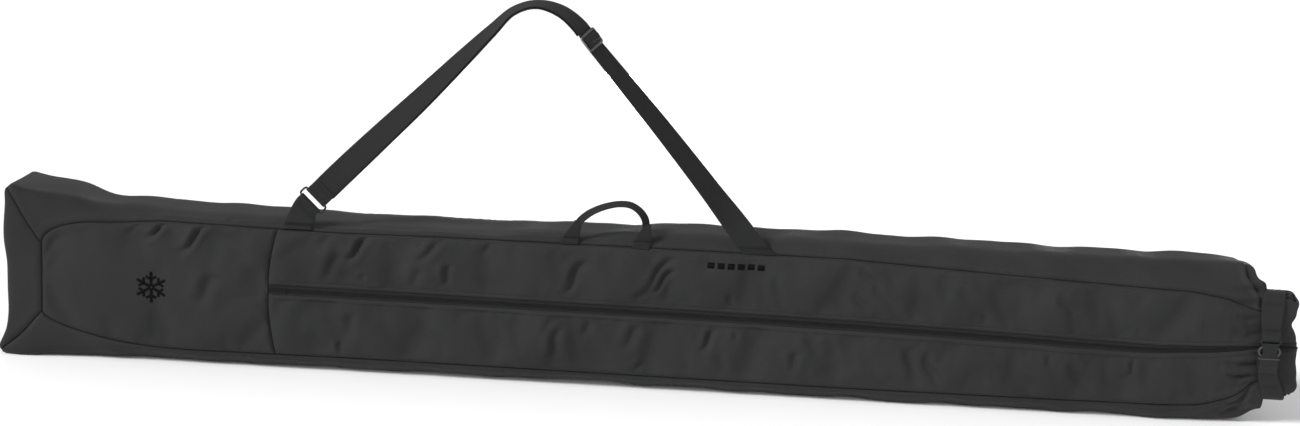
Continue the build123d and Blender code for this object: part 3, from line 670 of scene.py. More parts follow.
# How firmly the simulated cloth keeps its place; 1 is pinned.
FACE_HOLD, BACK_HOLD, STRIP_HOLD, FLOOR_HOLD = 0.02, 0.06, 0.3, 0.6
ZIP_STILL = 15 * MM  # nearer than this to the zip, the front is pinned
STILL_X = 0.925  # and so is all the cloth beyond this, by the roll
FLOOR_Z = 6 * MM  # cloth lower than this lies on the floor
CLOTH_SETTINGS = {
    "quality": 4,
    "mass": 0.25,
    "tension_stiffness": 18,
    "compression_stiffness": 12,
    "shear_stiffness": 6,
    "bending_stiffness": 0.5,
    "vertex_group_mass": "hold",
    "pin_stiffness": 0.8,
    "shrink_min": -0.019,  # the cloth is cut this much too large
    "shrink_max": 0.0,
    "vertex_group_shrink": "growth",
    "use_pressure": True,
    "uniform_pressure_force": 0.9,
}


def fill_out(skin):
    """Cloth simulation: panels cut a little large are puffed out between their pinned seams."""
    rest = points_of(skin)
    out = normals_of(skin)
    low, high = seam_vertices(skin.data)
    seams = low != high
    face = np.isin(low, (FRONT, UPPER, LOWER)) & ~seams
    hold = np.where(face, FACE_HOLD, np.where(low == BACK, BACK_HOLD, STRIP_HOLD))
    hold[seams] = 1.0
    from_zip = np.abs(rest[:, 2] - ZIP_Z - line_at(ZIP_SHIFT, rest[:, 0]))
    hold[face & (rest[:, 0] > NOSE_SEAM_X) & (from_zip < ZIP_STILL)] = 1.0
    hold[(low == ZIP_BAND) | (high == ZIP_BAND)] = 1.0
    hold[rest[:, 0] > STILL_X] = 1.0
    hold[rest[:, 2] < FLOOR_Z] = FLOOR_HOLD
    growth = np.where(seams, 1.0, np.where(face, 0.0, np.where(low == BACK, 0.4, 0.92)))
    group_of(skin, "hold", hold)
    group_of(skin, "growth", growth)
    set_points(skin, rest + out * (ripple(rest) * 1.5 * MM * ~seams)[:, None])
    cloth = skin.modifiers.new("cloth", "CLOTH")
    for key, value in CLOTH_SETTINGS.items():
        setattr(cloth.settings, key, value)
    cloth.settings.effector_weights.gravity = 0
    cloth.collision_settings.use_collision = False
    cloth.point_cache.frame_start = 1
    cloth.point_cache.frame_end = SIM_FRAMES
    for frame_number in range(1, SIM_FRAMES + 1):
        bpy.context.scene.frame_set(frame_number)
    settle(skin)
    bpy.context.scene.frame_set(1)
    travel = points_of(skin) - rest
    length = np.linalg.norm(travel, axis=1)
    travel *= (TRAVEL_CAP * np.tanh(length / TRAVEL_CAP) / np.maximum(length, 1e-9))[:, None]
    share = np.clip(near_seams(rest, low, high) / SEAM_CALM, 0, 1)
    travel *= (0.15 + 0.85 * eased(share))[:, None]
    set_points(skin, rest + travel)


def ripple(points):
    """Smooth uneven waves, from about -1 to 1, that seed the cloth's folds."""
    chance = np.random.default_rng(7)
    out = np.zeros(len(points))
    for wave in range(14):
        heading = chance.normal(size=3) * (1.0, 0.5, 1.2)
        heading /= np.linalg.norm(heading)
        length = chance.uniform(0.05, 0.22)
        out += np.sin(points @ heading * 2 * math.pi / length + chance.uniform(0, 6.3))
    return out / 5


# ---- Shaping after the simulation -------------------------------------------------------
# Folds on the front, in millimetres: start x and z, end x and z, depth, width.
FOLDS = [
    (-798, 225, -827, 208, 1.2, 4), (-752, 230, -798, 203, 3, 4), (-692, 232, -745, 182, 3, 4.5),
    (-654, 238, -679, 223, 1.2, 4), (-682, 150, -717, 99, 1.8, 9), (-444, 228, -487, 182, 3.2, 5),
    (-497, 231, -536, 197, 1.3, 6), (-488, 196, -526, 143, 1.6, 7), (-451, 164, -464, 147, 1.2, 4),
    (-329, 226, -376, 191, 2.4, 5), (-363, 178, -384, 142, 1.5, 7), (-467, 101, -480, 63, 1.6, 7),
    (-488, 55, -490, 30, 2, 4), (-321, 189, -331, 147, 2, 5), (-254, 229, -275, 207, 1.2, 5),
    (-109, 206, -150, 144, 2.2, 6), (32, 221, -39, 148, 2, 5), (27, 200, -13, 157, 2.6, 4),
    (-146, 98, -161, 46, 2.4, 7), (-155, 114, -176, 82, 1.4, 6), (-95, 113, -114, 82, 1.3, 6),
    (-17, 113, -50, 67, 2.2, 8), (-9, 48, -35, 31, 1.2, 5), (97, 113, 75, 72, 2.8, 5),
    (131, 115, 125, 91, 1.5, 4), (106, 72, 113, 40, 1.2, 7), (225, 81, 219, 48, 2, 6),
    (242, 112, 258, 74, 1.5, 8), (186, 201, 195, 146, 1.2, 6), (115, 167, 119, 146, 1.2, 4),
    (314, 221, 347, 186, 2.2, 6), (339, 197, 375, 152, 1.4, 8), (308, 181, 332, 147, 1.4, 7),
    (511, 156, 518, 135, 1.6, 4), (626, 198, 651, 162, 2, 7), (473, 200, 492, 171, 1.2, 8),
    (428, 93, 451, 25, 2, 7), (400, 97, 409, 49, 1.2, 7), (618, 98, 618, 79, 1.4, 4),
    (653, 95, 691, 33, 1.8, 9), (752, 103, 746, 71, 2.2, 4), (755, 149, 755, 128, 1.2, 4),
]
# Deeper gathers by the roll.
GATHERS = [
    (920, 262, 943, 188, 8, 4), (895, 87, 956, 80, 5, 4), (889, 104, 956, 95, 2.5, 5),
    (905, 150, 956, 146, 2, 5), (900, 182, 956, 172, 2.5, 5), (905, 34, 958, 72, 5, 5),
    (900, 14, 956, 60, 4, 5), (902, 62, 956, 76, 2, 4),
]
FOLD_GAIN = 2.5  # the folds' depths are multiplied by this
SEAM_DEPTH = 2.0 * MM
SEAM_HALF = 2.6 * MM  # half the width of the groove at a seam
PUCKER = 12.5 * MM  # from one pucker beside a seam to the next
PUCKER_FADE = 210 * MM  # over which the puckers grow and fade
GATHER_START_X = 0.872


def fold_depth(points, folds):
    """How far in the folds pull points of the front, negative where they lift it."""
    out = np.zeros(len(points))
    plane = points[:, (0, 2)] / MM
    for x0, z0, x1, z1, depth, width in folds:
        start = np.array([x0, z0], float)
        run = np.array([x1, z1], float) - start
        length = np.hypot(*run)
        along = (plane - start) @ run / length**2
        near = (along > 0) & (along < 1)
        share = along[near]
        across = (plane[near] - start) @ np.array([-run[1], run[0]]) / length
        across = across + 0.06 * length * np.sin(share * math.pi * 2)
        fade = np.sin(math.pi * share**0.75) ** 0.8
        lips = 0.5 * bell(across + 1.9 * width, 1.2 * width)
        lips += 0.35 * bell(across - 1.9 * width, 1.3 * width)
        out[near] += depth * MM * fade * (bell(across, width) - lips)
    return out


def near_seams(points, low, high):
    """Distance of each point from the nearest panel seam, in metres."""
    seam = (low != high) & (low != ZIP_BAND) & (high != ZIP_BAND)
    tree = KDTree(int(seam.sum()))
    for number, point in enumerate(points[seam]):
        tree.insert(point, number)
    tree.balance()
    return np.array([tree.find(point)[2] for point in points])


def finish_skin(skin):
    """Smooths the simulated skin, then works in its seams, puckers, folds and gathers."""
    smooth = skin.modifiers.new("smooth", "SUBSURF")
    smooth.levels = 1
    settle(skin)
    points = points_of(skin)
    out = normals_of(skin)
    low, high = seam_vertices(skin.data)
    away = near_seams(points, low, high)
    x, y, z = points.T
    front = np.clip(-out[:, 1] * 1.6 - 0.1, 0, 1)
    hem_at = ZIP_HIGH_Z - ZIP_Z + slot_extra(x)
    zip_away = np.maximum(np.abs(z - ZIP_Z - line_at(ZIP_SHIFT, x)) - hem_at, 0)
    zipped = (x > NOSE_SEAM_X) & (y < MID_Y) & (out[:, 1] < 0.4)
    calm = np.where(zipped, np.clip((zip_away - 5 * MM) / (12 * MM), 0, 1), 1)
    # The groove of each seam, the swell beside it, and puckers along the seams and hems.
    move = -SEAM_DEPTH * bell(away, SEAM_HALF) + 0.7 * MM * bell(away - 9 * MM, 5 * MM)
    along = x + 0.4 * z
    beat = np.sin(along * 2 * math.pi / PUCKER + 2.2 * np.sin(along * 2 * math.pi / 0.083))
    beat *= 0.55 + 0.45 * np.sin(along * 2 * math.pi / PUCKER_FADE + 1)
    move += 0.55 * MM * beat * bell(away - 6 * MM, 4 * MM)
    move += 0.5 * MM * beat * bell(zip_away - 8 * MM, 6 * MM) * zipped
    move += 0.9 * MM * ripple(points) * np.clip(away / (20 * MM), 0, 1) * calm
    loose = np.clip(away / (14 * MM), 0.15, 1)
    move -= FOLD_GAIN * fold_depth(points, FOLDS) * front * calm * loose
    not_back = np.clip(front + 0.3 - 0.5 * np.clip(out[:, 1], 0, 1), 0, 1)
    move -= fold_depth(points, GATHERS) * not_back
    gather = np.clip((x - GATHER_START_X) / 0.05, 0, 1) ** 1.5
    pleats = np.sin(z * 2 * math.pi / 0.031 + 2 * np.sin(z * 2 * math.pi / 0.11) + y * 40)
    move += gather * 2.4 * MM * pleats * np.where(zipped, np.clip(zip_away / (14 * MM), 0, 1), 1)
    move += np.where(zipped & (zip_away < 3 * MM), 0.5 * MM, 0)
    points = points + out * move[:, None]
    # Nothing goes below the floor.
    low_down = points[:, 2] < 1 * MM
    points[low_down, 2] = 0.3 * MM + 0.7 * MM * np.exp((points[low_down, 2] - 1 * MM) / (2 * MM))
    set_points(skin, points)


def panel_piece(skin, name, panels, material):
    """Cuts some panels out of the skin and gives them the cloth's thickness, inwards."""
    mesh = skin.data
    keep = np.isin(read(mesh.polygons, "material_index", 1, np.int32), panels)
    quads = read(mesh.loops, "vertex_index", 1, np.int32).reshape(-1, 4)[keep]
    uv = read(mesh.uv_layers["cloth"].data, "uv", 2).reshape(-1, 4, 2)[keep]
    used, index = np.unique(quads, return_inverse=True)
    piece = mesh_object(name, points_of(skin)[used], index.reshape(-1, 4), uv, material)
    thicken(piece, CLOTH)
    settle(piece)
    return piece


# ---- Webbing, stitches and plates -------------------------------------------------------
def ribbon(name, centres, across, width, thickness, material):
    """Webbing with rounded edges along centres; across points to its upper edge."""
    centres = np.asarray(centres, float)
    across = unit(np.asarray(across, float))
    face = unit(np.cross(across, unit(np.gradient(centres, axis=0))))
    width = np.broadcast_to(width, len(centres))
    half = thickness / 2
    # Its section: share of the flat half width, then the rounded edge's two offsets.
    side = np.linspace(-1, 1, 9)
    turn = [(math.cos(a), math.sin(a)) for a in np.linspace(math.pi / 2, -math.pi / 2, 5)[1:-1]]
    section = [(t, 0.0, 1.0) for t in side] + [(1.0, c, s) for c, s in turn]
    section = np.array(section + [(-t, -c, -s) for t, c, s in section])
    reach = section[:, 0] * (width[:, None] / 2 - half) + section[:, 1] * half
    rings = centres[:, None, :] + across[:, None, :] * reach[..., None]
    rings = rings + face[:, None, :] * (section[None, :, 2] * half)[..., None]
    uv = np.stack(np.broadcast_arrays(lengths(centres)[:, None], reach), axis=-1).reshape(-1, 2)
    return tube(name, rings, material, uv)


def flat_strap(name, line, thickness, material):
    """Webbing across X along a line whose rows are x, y, z and width."""
    level = np.tile((1.0, 0, 0), (len(line), 1))
    return ribbon(name, line[:, :3], level, line[:, 3], thickness, material)


def curve_through(knots, step):
    """Points about a step apart on a smooth curve through knots (rows of any numbers)."""
    knots = np.asarray(knots, float)
    padded = np.vstack([2 * knots[0] - knots[1], knots, 2 * knots[-1] - knots[-2]])
    out = []
    for a, b, c, d in zip(padded, padded[1:], padded[2:], padded[3:]):
        count = max(2, int(np.linalg.norm((c - b)[:3]) / step))
        # Centripetal spacing keeps the curve from looping between uneven knots.
        gaps = [max(np.linalg.norm((q - p)[:3]), 1e-6) ** 0.5 for p, q in ((a, b), (b, c), (c, d))]
        t0, t1 = 0.0, gaps[0]
        t2 = t1 + gaps[1]
        t3 = t2 + gaps[2]
        for share in np.arange(count) / count:
            t = t1 + share * (t2 - t1)
            ab = a + (b - a) * (t - t0) / (t1 - t0)
            bc = b + (c - b) * (t - t1) / (t2 - t1)
            cd = c + (d - c) * (t - t2) / (t3 - t2)
            abc = ab + (bc - ab) * (t - t0) / (t2 - t0)
            bcd = bc + (cd - bc) * (t - t1) / (t3 - t1)
            out.append(abc + (bcd - abc) * (t - t1) / (t2 - t1))
    out.append(knots[-1])
    return np.array(out)


def merged(name, parts, material):
    """One object from several (points, faces) meshes."""
    points, faces, count = [], [], 0
    for part_points, part_faces in parts:
        points.append(np.asarray(part_points, float))
        faces += [tuple(i + count for i in face) for face in part_faces]
        count += len(part_points)
    return mesh_object(name, np.concatenate(points), faces, None, material)


BEAD_SIDES = 6


def bead(a, b, out, radius, end_swell=0.35):
    """A stitch: a low spindle from a to b, lying on the cloth whose outward side is out."""
    a, b, out = np.array(a, float), np.array(b, float), np.array(out, float)
    run = b - a
    side = np.cross(run, out)
    side /= max(np.linalg.norm(side), 1e-9)
    points = []
    for share, swell in ((0.0, end_swell), (0.25, 0.95), (0.75, 0.95), (1.0, end_swell)):
        for turn in range(BEAD_SIDES):
            angle = turn * 2 * math.pi / BEAD_SIDES
            spoke = side * math.cos(angle) + out * math.sin(angle)
            points.append(a + run * share + radius * swell * spoke)
    faces = []
    for first in (0, BEAD_SIDES, 2 * BEAD_SIDES):
        for turn in range(BEAD_SIDES):
            here, other = first + turn, first + (turn + 1) % BEAD_SIDES
            faces.append((here, other, other + BEAD_SIDES, here + BEAD_SIDES))
    faces.append(tuple(range(BEAD_SIDES))[::-1])
    faces.append(tuple(range(3 * BEAD_SIDES, 4 * BEAD_SIDES)))
    return points, faces


def stitch_line(points, normals, pitch=3.6 * MM, gap=1.0 * MM, radius=0.42 * MM):
    """Stitches along a line of points with the cloth's normals."""
    columns = np.hstack([points, normals]).T
    run = lengths(points)
    out = []
    for start in np.arange(0, run[-1] - pitch, pitch):
        places = (start + gap / 2, start + pitch - gap / 2, start)
        a, b, first = ([np.interp(at, run, column) for column in columns] for at in places)
        out.append(bead(a[:3], b[:3], unit(np.array(first[3:])), radius))
    return out


def level_stitches(x, reach, y, z, count, gap=0.7 * MM):
    """A short level row of stitches on the front of a strap; its place is in millimetres."""
    row = np.array([((x + s * reach) * MM, y * MM, z * MM) for s in np.linspace(-1, 1, count)])
    return stitch_line(row, np.tile((0, -1.0, 0), (count, 1)), 2.4 * MM, gap, 0.35 * MM)


BEFORE_Y = -0.3  # well in front of the bag


class Surface:
    """Finds places on a finished piece."""

    def __init__(self, obj):
        self.tree = BVHTree.FromObject(obj, bpy.context.evaluated_depsgraph_get())

    def nearest(self, point, lift=0.0):
        place, normal, *_ = self.tree.find_nearest(Vector(point))
        return np.array(place + normal * lift), np.array(normal)

    def front(self, x, z, lift=0.0):
        """The front surface at x and z, seen from -Y."""
        place, normal, *_ = self.tree.ray_cast(Vector((x, BEFORE_Y, z)), Vector((0, 1, 0)))
        if place is None:
            return self.nearest((x, FRONT_Y, z), lift)
        return np.array(place + normal * lift), np.array(normal)


def join_line(skin, one, other, x_low, x_high):
    """Vertices where two sets of panels meet, in order of x."""
    mesh_points = points_of(skin)
    low, high = seam_vertices(skin.data)
    here = np.isin(low, one) & np.isin(high, other)
    here |= np.isin(low, other) & np.isin(high, one)
    here &= (mesh_points[:, 0] > x_low) & (mesh_points[:, 0] < x_high)
    line = mesh_points[here]
    return line[np.argsort(line[:, 0])]


def drawn(path, shift, surface):
    """A line on the skin beside a path, moved by shift and laid back on the surface."""
    pairs = [surface.nearest(point + np.array(shift), 0.15 * MM) for point in path]
    return np.array([p for p, n in pairs]), np.array([n for p, n in pairs])


# ---- Zip --------------------------------------------------------------------------------
ZIP_START_X = NOSE_SEAM_X - NOSE_BOW + 1 * MM
TAPE_WIDTH = 12.5 * MM
TAPE_BEHIND = 1.6 * MM  # middle of the tapes behind the front's surface
TAPE_TUCK = 2.2 * MM  # how far the tapes run in under the nose panel
COIL_PITCH = 1.9 * MM
COIL_WIRE = 0.42 * MM
COIL_HALF = 1.5 * MM  # half the width of each coil


def zip_line(x):
    """The middle of the zip at x: depth of the front and height."""
    return line_at(FRONT_LINE, x), ZIP_Z + line_at(ZIP_SHIFT, x)


def make_zip():
    """Tapes and wound coils of the closed zip."""
    xs = np.arange(ZIP_START_X - TAPE_TUCK, SKIN_END_X, 5 * MM)
    y, z = zip_line(xs)
    up = np.tile((0, 0, 1.0), (len(xs), 1))
    pieces = []
    for side, way in (("upper", 1), ("lower", -1)):
        middle = np.stack([xs, y + TAPE_BEHIND, z + way * (0.5 * MM + TAPE_WIDTH / 2)], axis=1)
        tape = ribbon(f"zip_tape_{side}_cloth", middle, up, TAPE_WIDTH, 0.9 * MM, TAPE_MATERIAL)
        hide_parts(f"zipper_tape_{side}")
        turns = np.arange(0, (SKIN_END_X - ZIP_START_X - 2 * MM) / COIL_PITCH, 1 / 8)
        path_x = ZIP_START_X + 1 * MM + turns * COIL_PITCH + (way > 0) * COIL_PITCH / 2
        angle = turns * 2 * math.pi
        cy, cz = zip_line(path_x)
        path = np.stack([path_x, cy + TAPE_BEHIND - 1.2 * MM + 0.8 * MM * np.cos(angle),
                         cz + way * (1.35 * MM + COIL_HALF * np.sin(angle))], axis=1)
        coil = wire(f"zip_coil_{side}_wire", path, COIL_WIRE, COIL_MATERIAL, 5)
        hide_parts(f"zipper_coil_{side}")
        pieces += [tape, coil]
    return pieces


def wire(name, path, radius, material, sides=8, closed=False):
    """A round wire along a path."""
    if closed:
        tangent = np.roll(path, -1, axis=0) - np.roll(path, 1, axis=0)
    else:
        tangent = np.gradient(path, axis=0)
    tangent = unit(tangent)
    guide = (0.0, 1.0, 0.0) if abs(tangent[:, 1]).mean() < 0.6 else (1.0, 0.0, 0.0)
    side = unit(np.cross(tangent, guide))
    over = np.cross(side, tangent)
    angle = np.arange(sides) * 2 * math.pi / sides
    ring = side[:, None, :] * np.cos(angle)[None, :, None]
    ring = ring + over[:, None, :] * np.sin(angle)[None, :, None]
    return tube(name, path[:, None, :] + ring * radius, material, closed=closed)


def plate(name, outlines, front_y, depth, bevel, material):
    """A moulded plate facing -Y; its outlines are (x, z) loops, of which inner ones are holes."""
    curve = bpy.data.curves.new(name, "CURVE")
    curve.dimensions = "2D"
    curve.fill_mode = "BOTH"
    curve.extrude = depth / 2 - bevel
    curve.bevel_depth = bevel
    curve.bevel_resolution = 2
    curve.offset = -bevel
    for outline in outlines:
        spline = curve.splines.new("POLY")
        spline.points.add(len(outline) - 1)
        for point, (x, z) in zip(spline.points, outline):
            point.co = (x, z, 0, 1)
        spline.use_cyclic_u = True
    holder = linked(name, curve)
    graph = bpy.context.evaluated_depsgraph_get()
    mesh = bpy.data.meshes.new_from_object(holder.evaluated_get(graph))
    bpy.data.objects.remove(holder)
    turn = Matrix(((1, 0, 0, 0), (0, 0, -1, front_y + depth / 2), (0, 1, 0, 0), (0, 0, 0, 1)))
    mesh.transform(turn)
    mesh.materials.clear()
    mesh.materials.append(material)
    face_outwards(mesh, 0.01 * MM)
    return linked(name, mesh)


def rounded_loop(corners, radius, steps=4):
    """A closed outline with its corners rounded."""
    corners = [np.array(c, float) for c in corners]
    around = zip(corners[-1:] + corners[:-1], corners, corners[1:] + corners[:1])
    out = []
    for before, corner, after in around:
        to_before, to_after = before - corner, after - corner
        reach = min(radius, np.linalg.norm(to_before) * 0.45, np.linalg.norm(to_after) * 0.45)
        start = corner + to_before / np.linalg.norm(to_before) * reach
        end = corner + to_after / np.linalg.norm(to_after) * reach
        for t in np.linspace(0, 1, steps + 1):
            out.append(tuple((1 - t) ** 2 * start + 2 * t * (1 - t) * corner + t**2 * end))
    return out


# ---- Shoulder strap ---------------------------------------------------------------------
WEB = 1.8 * MM
WEB_WIDTH = 38 * MM
STRAP_Y = -58 * MM
LAYER_GAP = 2.5 * MM
HINGE_Z = 240 * MM
RING_AT = np.array([-536, 277]) * MM
LEFT_ANGLE = math.radians(46.0)
RETURN_END_X = -131 * MM  # where the doubled layer ends
RETURN_DROOP = 1.4 * MM  # how far it hangs below the front layer
LOOP_STITCHES = 3 * MM  # between the two rows over each loop of the ring
RING_LONG = 48 * MM
RING_SHORT = 17 * MM
RING_WIRE = 1.6 * MM
RING_TAB_X = -556 * MM  # where the ring's tab is sewn in
# The arch: x, z and twist in degrees; at 90 the webbing is seen edge on.
ARCH = [(-520, 294, 0), (-496, 320, 6), (-436, 383, 24), (-377, 444, 38), (-318, 507, 54),
        (-272, 556, 68), (-240, 588, 78), (-205, 600, 80), (-168, 592, 72), (-139, 571, 64),
        (-121, 549, 60), (-75, 498, 55), (-10, 426, 48), (56, 350, 40), (84, 317, 34),
        (118, 277, 14), (140, 251, 2), (148.8, 240.8, 0)]


def twisted(centres, twist):
    """Directions along a line in the plane of the bag, and across its twisted webbing."""
    tangent = unit(np.gradient(centres, axis=0))
    side = np.stack([-tangent[:, 2], np.zeros(len(centres)), tangent[:, 0]], axis=1)
    across = side * np.cos(twist)[:, None]
    across[:, 1] += np.sin(twist)
    return tangent, across


def strap_course(behind=0.0):
    """Centres and across directions of the webbing along the arch."""
    knots = [(x * MM, STRAP_Y, z * MM, math.radians(twist)) for x, z, twist in ARCH]
    line = curve_through(knots, 5 * MM)
    centres = line[:, :3]
    tangent, across = twisted(centres, line[:, 3])
    under = -np.cross(tangent, across)
    under *= np.sign(under[:, 1:2] + 1e-9)
    return centres + under * behind, across


def sheared(centres, across, width, reach=46 * MM):
    """Turns a strap's end level with its seam while its edges stay straight."""
    run = lengths(centres)
    share = np.clip(1 - (run[-1] - run) / reach, 0, 1)[:, None]
    square = unit(across)
    level = unit(square * (1 - share) + np.array([1.0, 0, 0]) * share)
    return level, width / np.sum(level * square, axis=1)


def directions(angle):
    """The direction at an angle in the plane of the bag, and the one square to it."""
    c, s = math.cos(angle), math.sin(angle)
    return np.array([c, 0, s]), np.array([-s, 0, c])


def tab_loop(name, bar, angle, leg, foot=None):
    """Webbing folded round a bar, its two layers running out along an angle or down to a foot."""
    ahead, square = directions(angle)
    back = np.array([0, 1.0, 0])
    end, end_across = (bar + ahead * leg, square) if foot is None else foot
    reach = RING_WIRE + WEB / 2 + 0.2 * MM
    halfway = bar + ahead * 7 * MM
    knots = [(end - back * WEB * 0.55, 1), (halfway - back * WEB * 0.7, 0.1),
             (bar + ahead * 0.1 * MM - back * reach, 0), (bar - ahead * reach, 0),
             (bar + ahead * 0.1 * MM + back * reach, 0), (halfway + back * WEB * 0.7, 0.1),
             (end + back * WEB * 0.55, 1)]
    line = curve_through([list(point) + [share] for point, share in knots], 0.8 * MM)
    share = np.clip(line[:, 3:], 0, 1)
    across = square * (1 - share) + end_across * share
    widening = 0 if foot is None else 0.18 * share[:, 0]
    return ribbon(name, line[:, :3], across, WEB_WIDTH * (1 + widening), WEB, WEB_MATERIAL)


def ring_bar(way):
    """The middle of a long side of the ring: 1 for the strap's side, -1 for the tab's."""
    centre = np.array([RING_AT[0], STRAP_Y, RING_AT[1]])
    return centre + directions(LEFT_ANGLE)[0] * way * (RING_SHORT / 2 - RING_WIRE)


def make_strap():
    """The strap's layers, its ring and tab, its loops and stitches."""
    centres, across = strap_course()
    level, widths = sheared(centres, across, WEB_WIDTH)
    front = ribbon("strap_webbing", centres, level, widths, WEB, WEB_MATERIAL)
    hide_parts("shoulder_strap")
    centres, across = strap_course(LAYER_GAP)
    last = int(np.argmin(np.abs(centres[:, 0] - RETURN_END_X)))
    second = ribbon("strap_return_webbing", (centres - across * RETURN_DROOP)[:last], across[:last],
                    WEB_WIDTH, WEB, WEB_MATERIAL)
    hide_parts("strap_return_layer")
    loop = tab_loop("strap_ring_loop", ring_bar(1), LEFT_ANGLE, 22 * MM)
    foot = (np.array([RING_TAB_X, STRAP_Y, HINGE_Z]), np.array([1.0, 0, 0]))
    tab = tab_loop("ring_tab_webbing", ring_bar(-1), LEFT_ANGLE + math.pi, 0, foot)
    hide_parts("ring_tab")
    ahead, side = (way[[0, 2]] for way in directions(LEFT_ANGLE))
    a, b = RING_SHORT / 2 - RING_WIRE, RING_LONG / 2 - RING_WIRE
    corners = [RING_AT + ahead * u + side * v for u, v in ((a, b), (-a, b), (-a, -b), (a, -b))]
    path = np.array([(x, STRAP_Y, z) for x, z in rounded_loop(corners, 4.5 * MM, 6)])
    keep = np.linalg.norm(path - np.roll(path, 1, axis=0), axis=1) > 0.05 * MM
    ring = wire("rectangular_ring_wire", path[keep], RING_WIRE, RING_MATERIAL, 10, True)
    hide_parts("rectangular_ring")
    stitches = []
    out = np.array([0, -1.0, 0])
    for way, angle, reach in ((1, LEFT_ANGLE, 14 * MM), (-1, LEFT_ANGLE + math.pi, 12 * MM)):
        forward, sideways = directions(angle)
        for extra in (0, LOOP_STITCHES):
            middle = ring_bar(way) + forward * (reach + extra) + out * WEB * 1.15
            half = sideways * (WEB_WIDTH / 2 - 3 * MM)
            line = np.linspace(middle - half, middle + half, 12)
            stitches += stitch_line(line, np.tile(out, (12, 1)), 2.6 * MM, 0.7 * MM, 0.35 * MM)
    thread = merged("strap_stitches", stitches, THREAD_MATERIAL)
    for piece, slot in ((front, "webbing"), (second, "webbing"), (loop, "webbing"),
                        (tab, "webbing"), (ring, "ring_metal"), (thread, "webbing")):
        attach(piece, "shoulder_strap")


ADJUSTER_LONG = 28 * MM
ADJUSTER_WIDE = 44 * MM
ADJUSTER_X = -120.5 * MM
# The webbing over its middle bar: share of the way to an end bar, and height in millimetres.
ADJUSTER_HUMP = [(-1.15, 0.6), (-0.8, 3.0), (-0.3, 5.4), (0.3, 5.4), (0.8, 3.0), (1.15, 0.6)]


def make_adjuster():
    """Tri-glide: a bent plate with two openings, and the webbing's hump over its middle bar."""
    centres, across = strap_course()
    number = int(np.argmin(np.abs(centres[:, 0] - ADJUSTER_X)))
    centre, up = centres[number], unit(across[number])
    tangent = unit(centres[number + 1] - centres[number - 1])
    out = np.cross(up, tangent)
    out *= -np.sign(out[1])
    long, wide = ADJUSTER_LONG / 2, ADJUSTER_WIDE / 2
    loops = [rounded_loop([(long, wide), (-long, wide), (-long, -wide), (long, -wide)], 6 * MM)]
    for way in (1, -1):
        a, b = way * 2.4 * MM, way * (long - 4.2 * MM)
        w = WEB_WIDTH / 2 + 0.6 * MM
        loops.append(rounded_loop([(b, w), (a, w), (a, -w), (b, -w)], 1.2 * MM))
    body = plate("strap_adjuster_plate", loops, -1.4 * MM, 2.8 * MM, 0.9 * MM, ADJUSTER_MATERIAL)
    u, v, w = points_of(body).T[:, :, None]
    arch = 2.6 * MM * (1 - (w / wide) ** 2)
    set_points(body, centre + u * tangent + w * up - (v - arch * 0.6 - 2.2 * MM) * out)
    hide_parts("strap_adjuster")
    reach = long - 3.6 * MM
    knots = [centre + tangent * s * reach + out * h * MM for s, h in ADJUSTER_HUMP]
    line = curve_through(knots, 1.5 * MM)
    hump = ribbon("adjuster_webbing", line, np.tile(up, (len(line), 1)), WEB_WIDTH - 0.6 * MM, WEB,
                  WEB_MATERIAL)
    for piece in (body, hump):
        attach(piece, "strap_adjuster")


# ---- Sewn ends, handle and prints --------------------------------------------------------
HANDLE_Y = -58 * MM
# Grab handle: x, depth behind the face, z, width and twist in degrees.
HANDLE = [(-127, 0, 262, 11, 20), (-122, 0, 270, 14, 45), (-108, 1, 282, 19, 66),
          (-88, 2, 292, 20, 72), (-64, 3, 298, 20, 74), (-46, 3, 297, 20, 72),
          (-32, 2, 289, 19, 66), (-23, 1, 277, 16, 50), (-20, 0, 262, 11, 18)]
# Its tabs: name, X at the seam and at the top, width at the seam and at the top.
HANDLE_TABS = [("left", -136, -126, 27, 12), ("right", -25, -19, 27, 11)]


def make_handle():
    """Twisted webbing arch between two folded tabs."""
    knots = [(x * MM, HANDLE_Y + d * MM, z * MM, w * MM, math.radians(t))
             for x, d, z, w, t in HANDLE]
    line = curve_through(knots, 2.5 * MM)
    across = twisted(line[:, :3], line[:, 4])[1]
    webbing = ribbon("handle_strap", line[:, :3], across, line[:, 3], WEB, WEB_MATERIAL)
    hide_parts("handle_webbing")
    pieces = [webbing]
    stitches = []
    for name, base, top, wide, slim in HANDLE_TABS:
        bend, bend_wide = base * 0.6 + top * 0.4, wide * 0.78
        knots = [(base, WEB / MM, 240, wide), (bend, -1, 251, bend_wide), (top, -2.2, 266, slim),
                 (top, 0, 269, slim), (top, 2.4, 266, slim), (bend, 1.8, 251, bend_wide),
                 (base, WEB / MM + 1.2, 240, wide)]
        line = curve_through(np.array(knots) * MM + (0, HANDLE_Y, 0, 0), 1.5 * MM)
        tab = flat_strap(f"handle_tab_{name}_cloth", line, 1.1 * MM, TAB_MATERIAL)
        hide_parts(f"handle_tab_{name}")
        pieces.append(tab)
        stitches += level_stitches(top, slim * 0.36, HANDLE_Y / MM - 2.9, 262, 6, 0.6 * MM)
    pieces.append(merged("handle_stitches", stitches, THREAD_MATERIAL))
    for piece in pieces:
        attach(piece, "grab_handle")


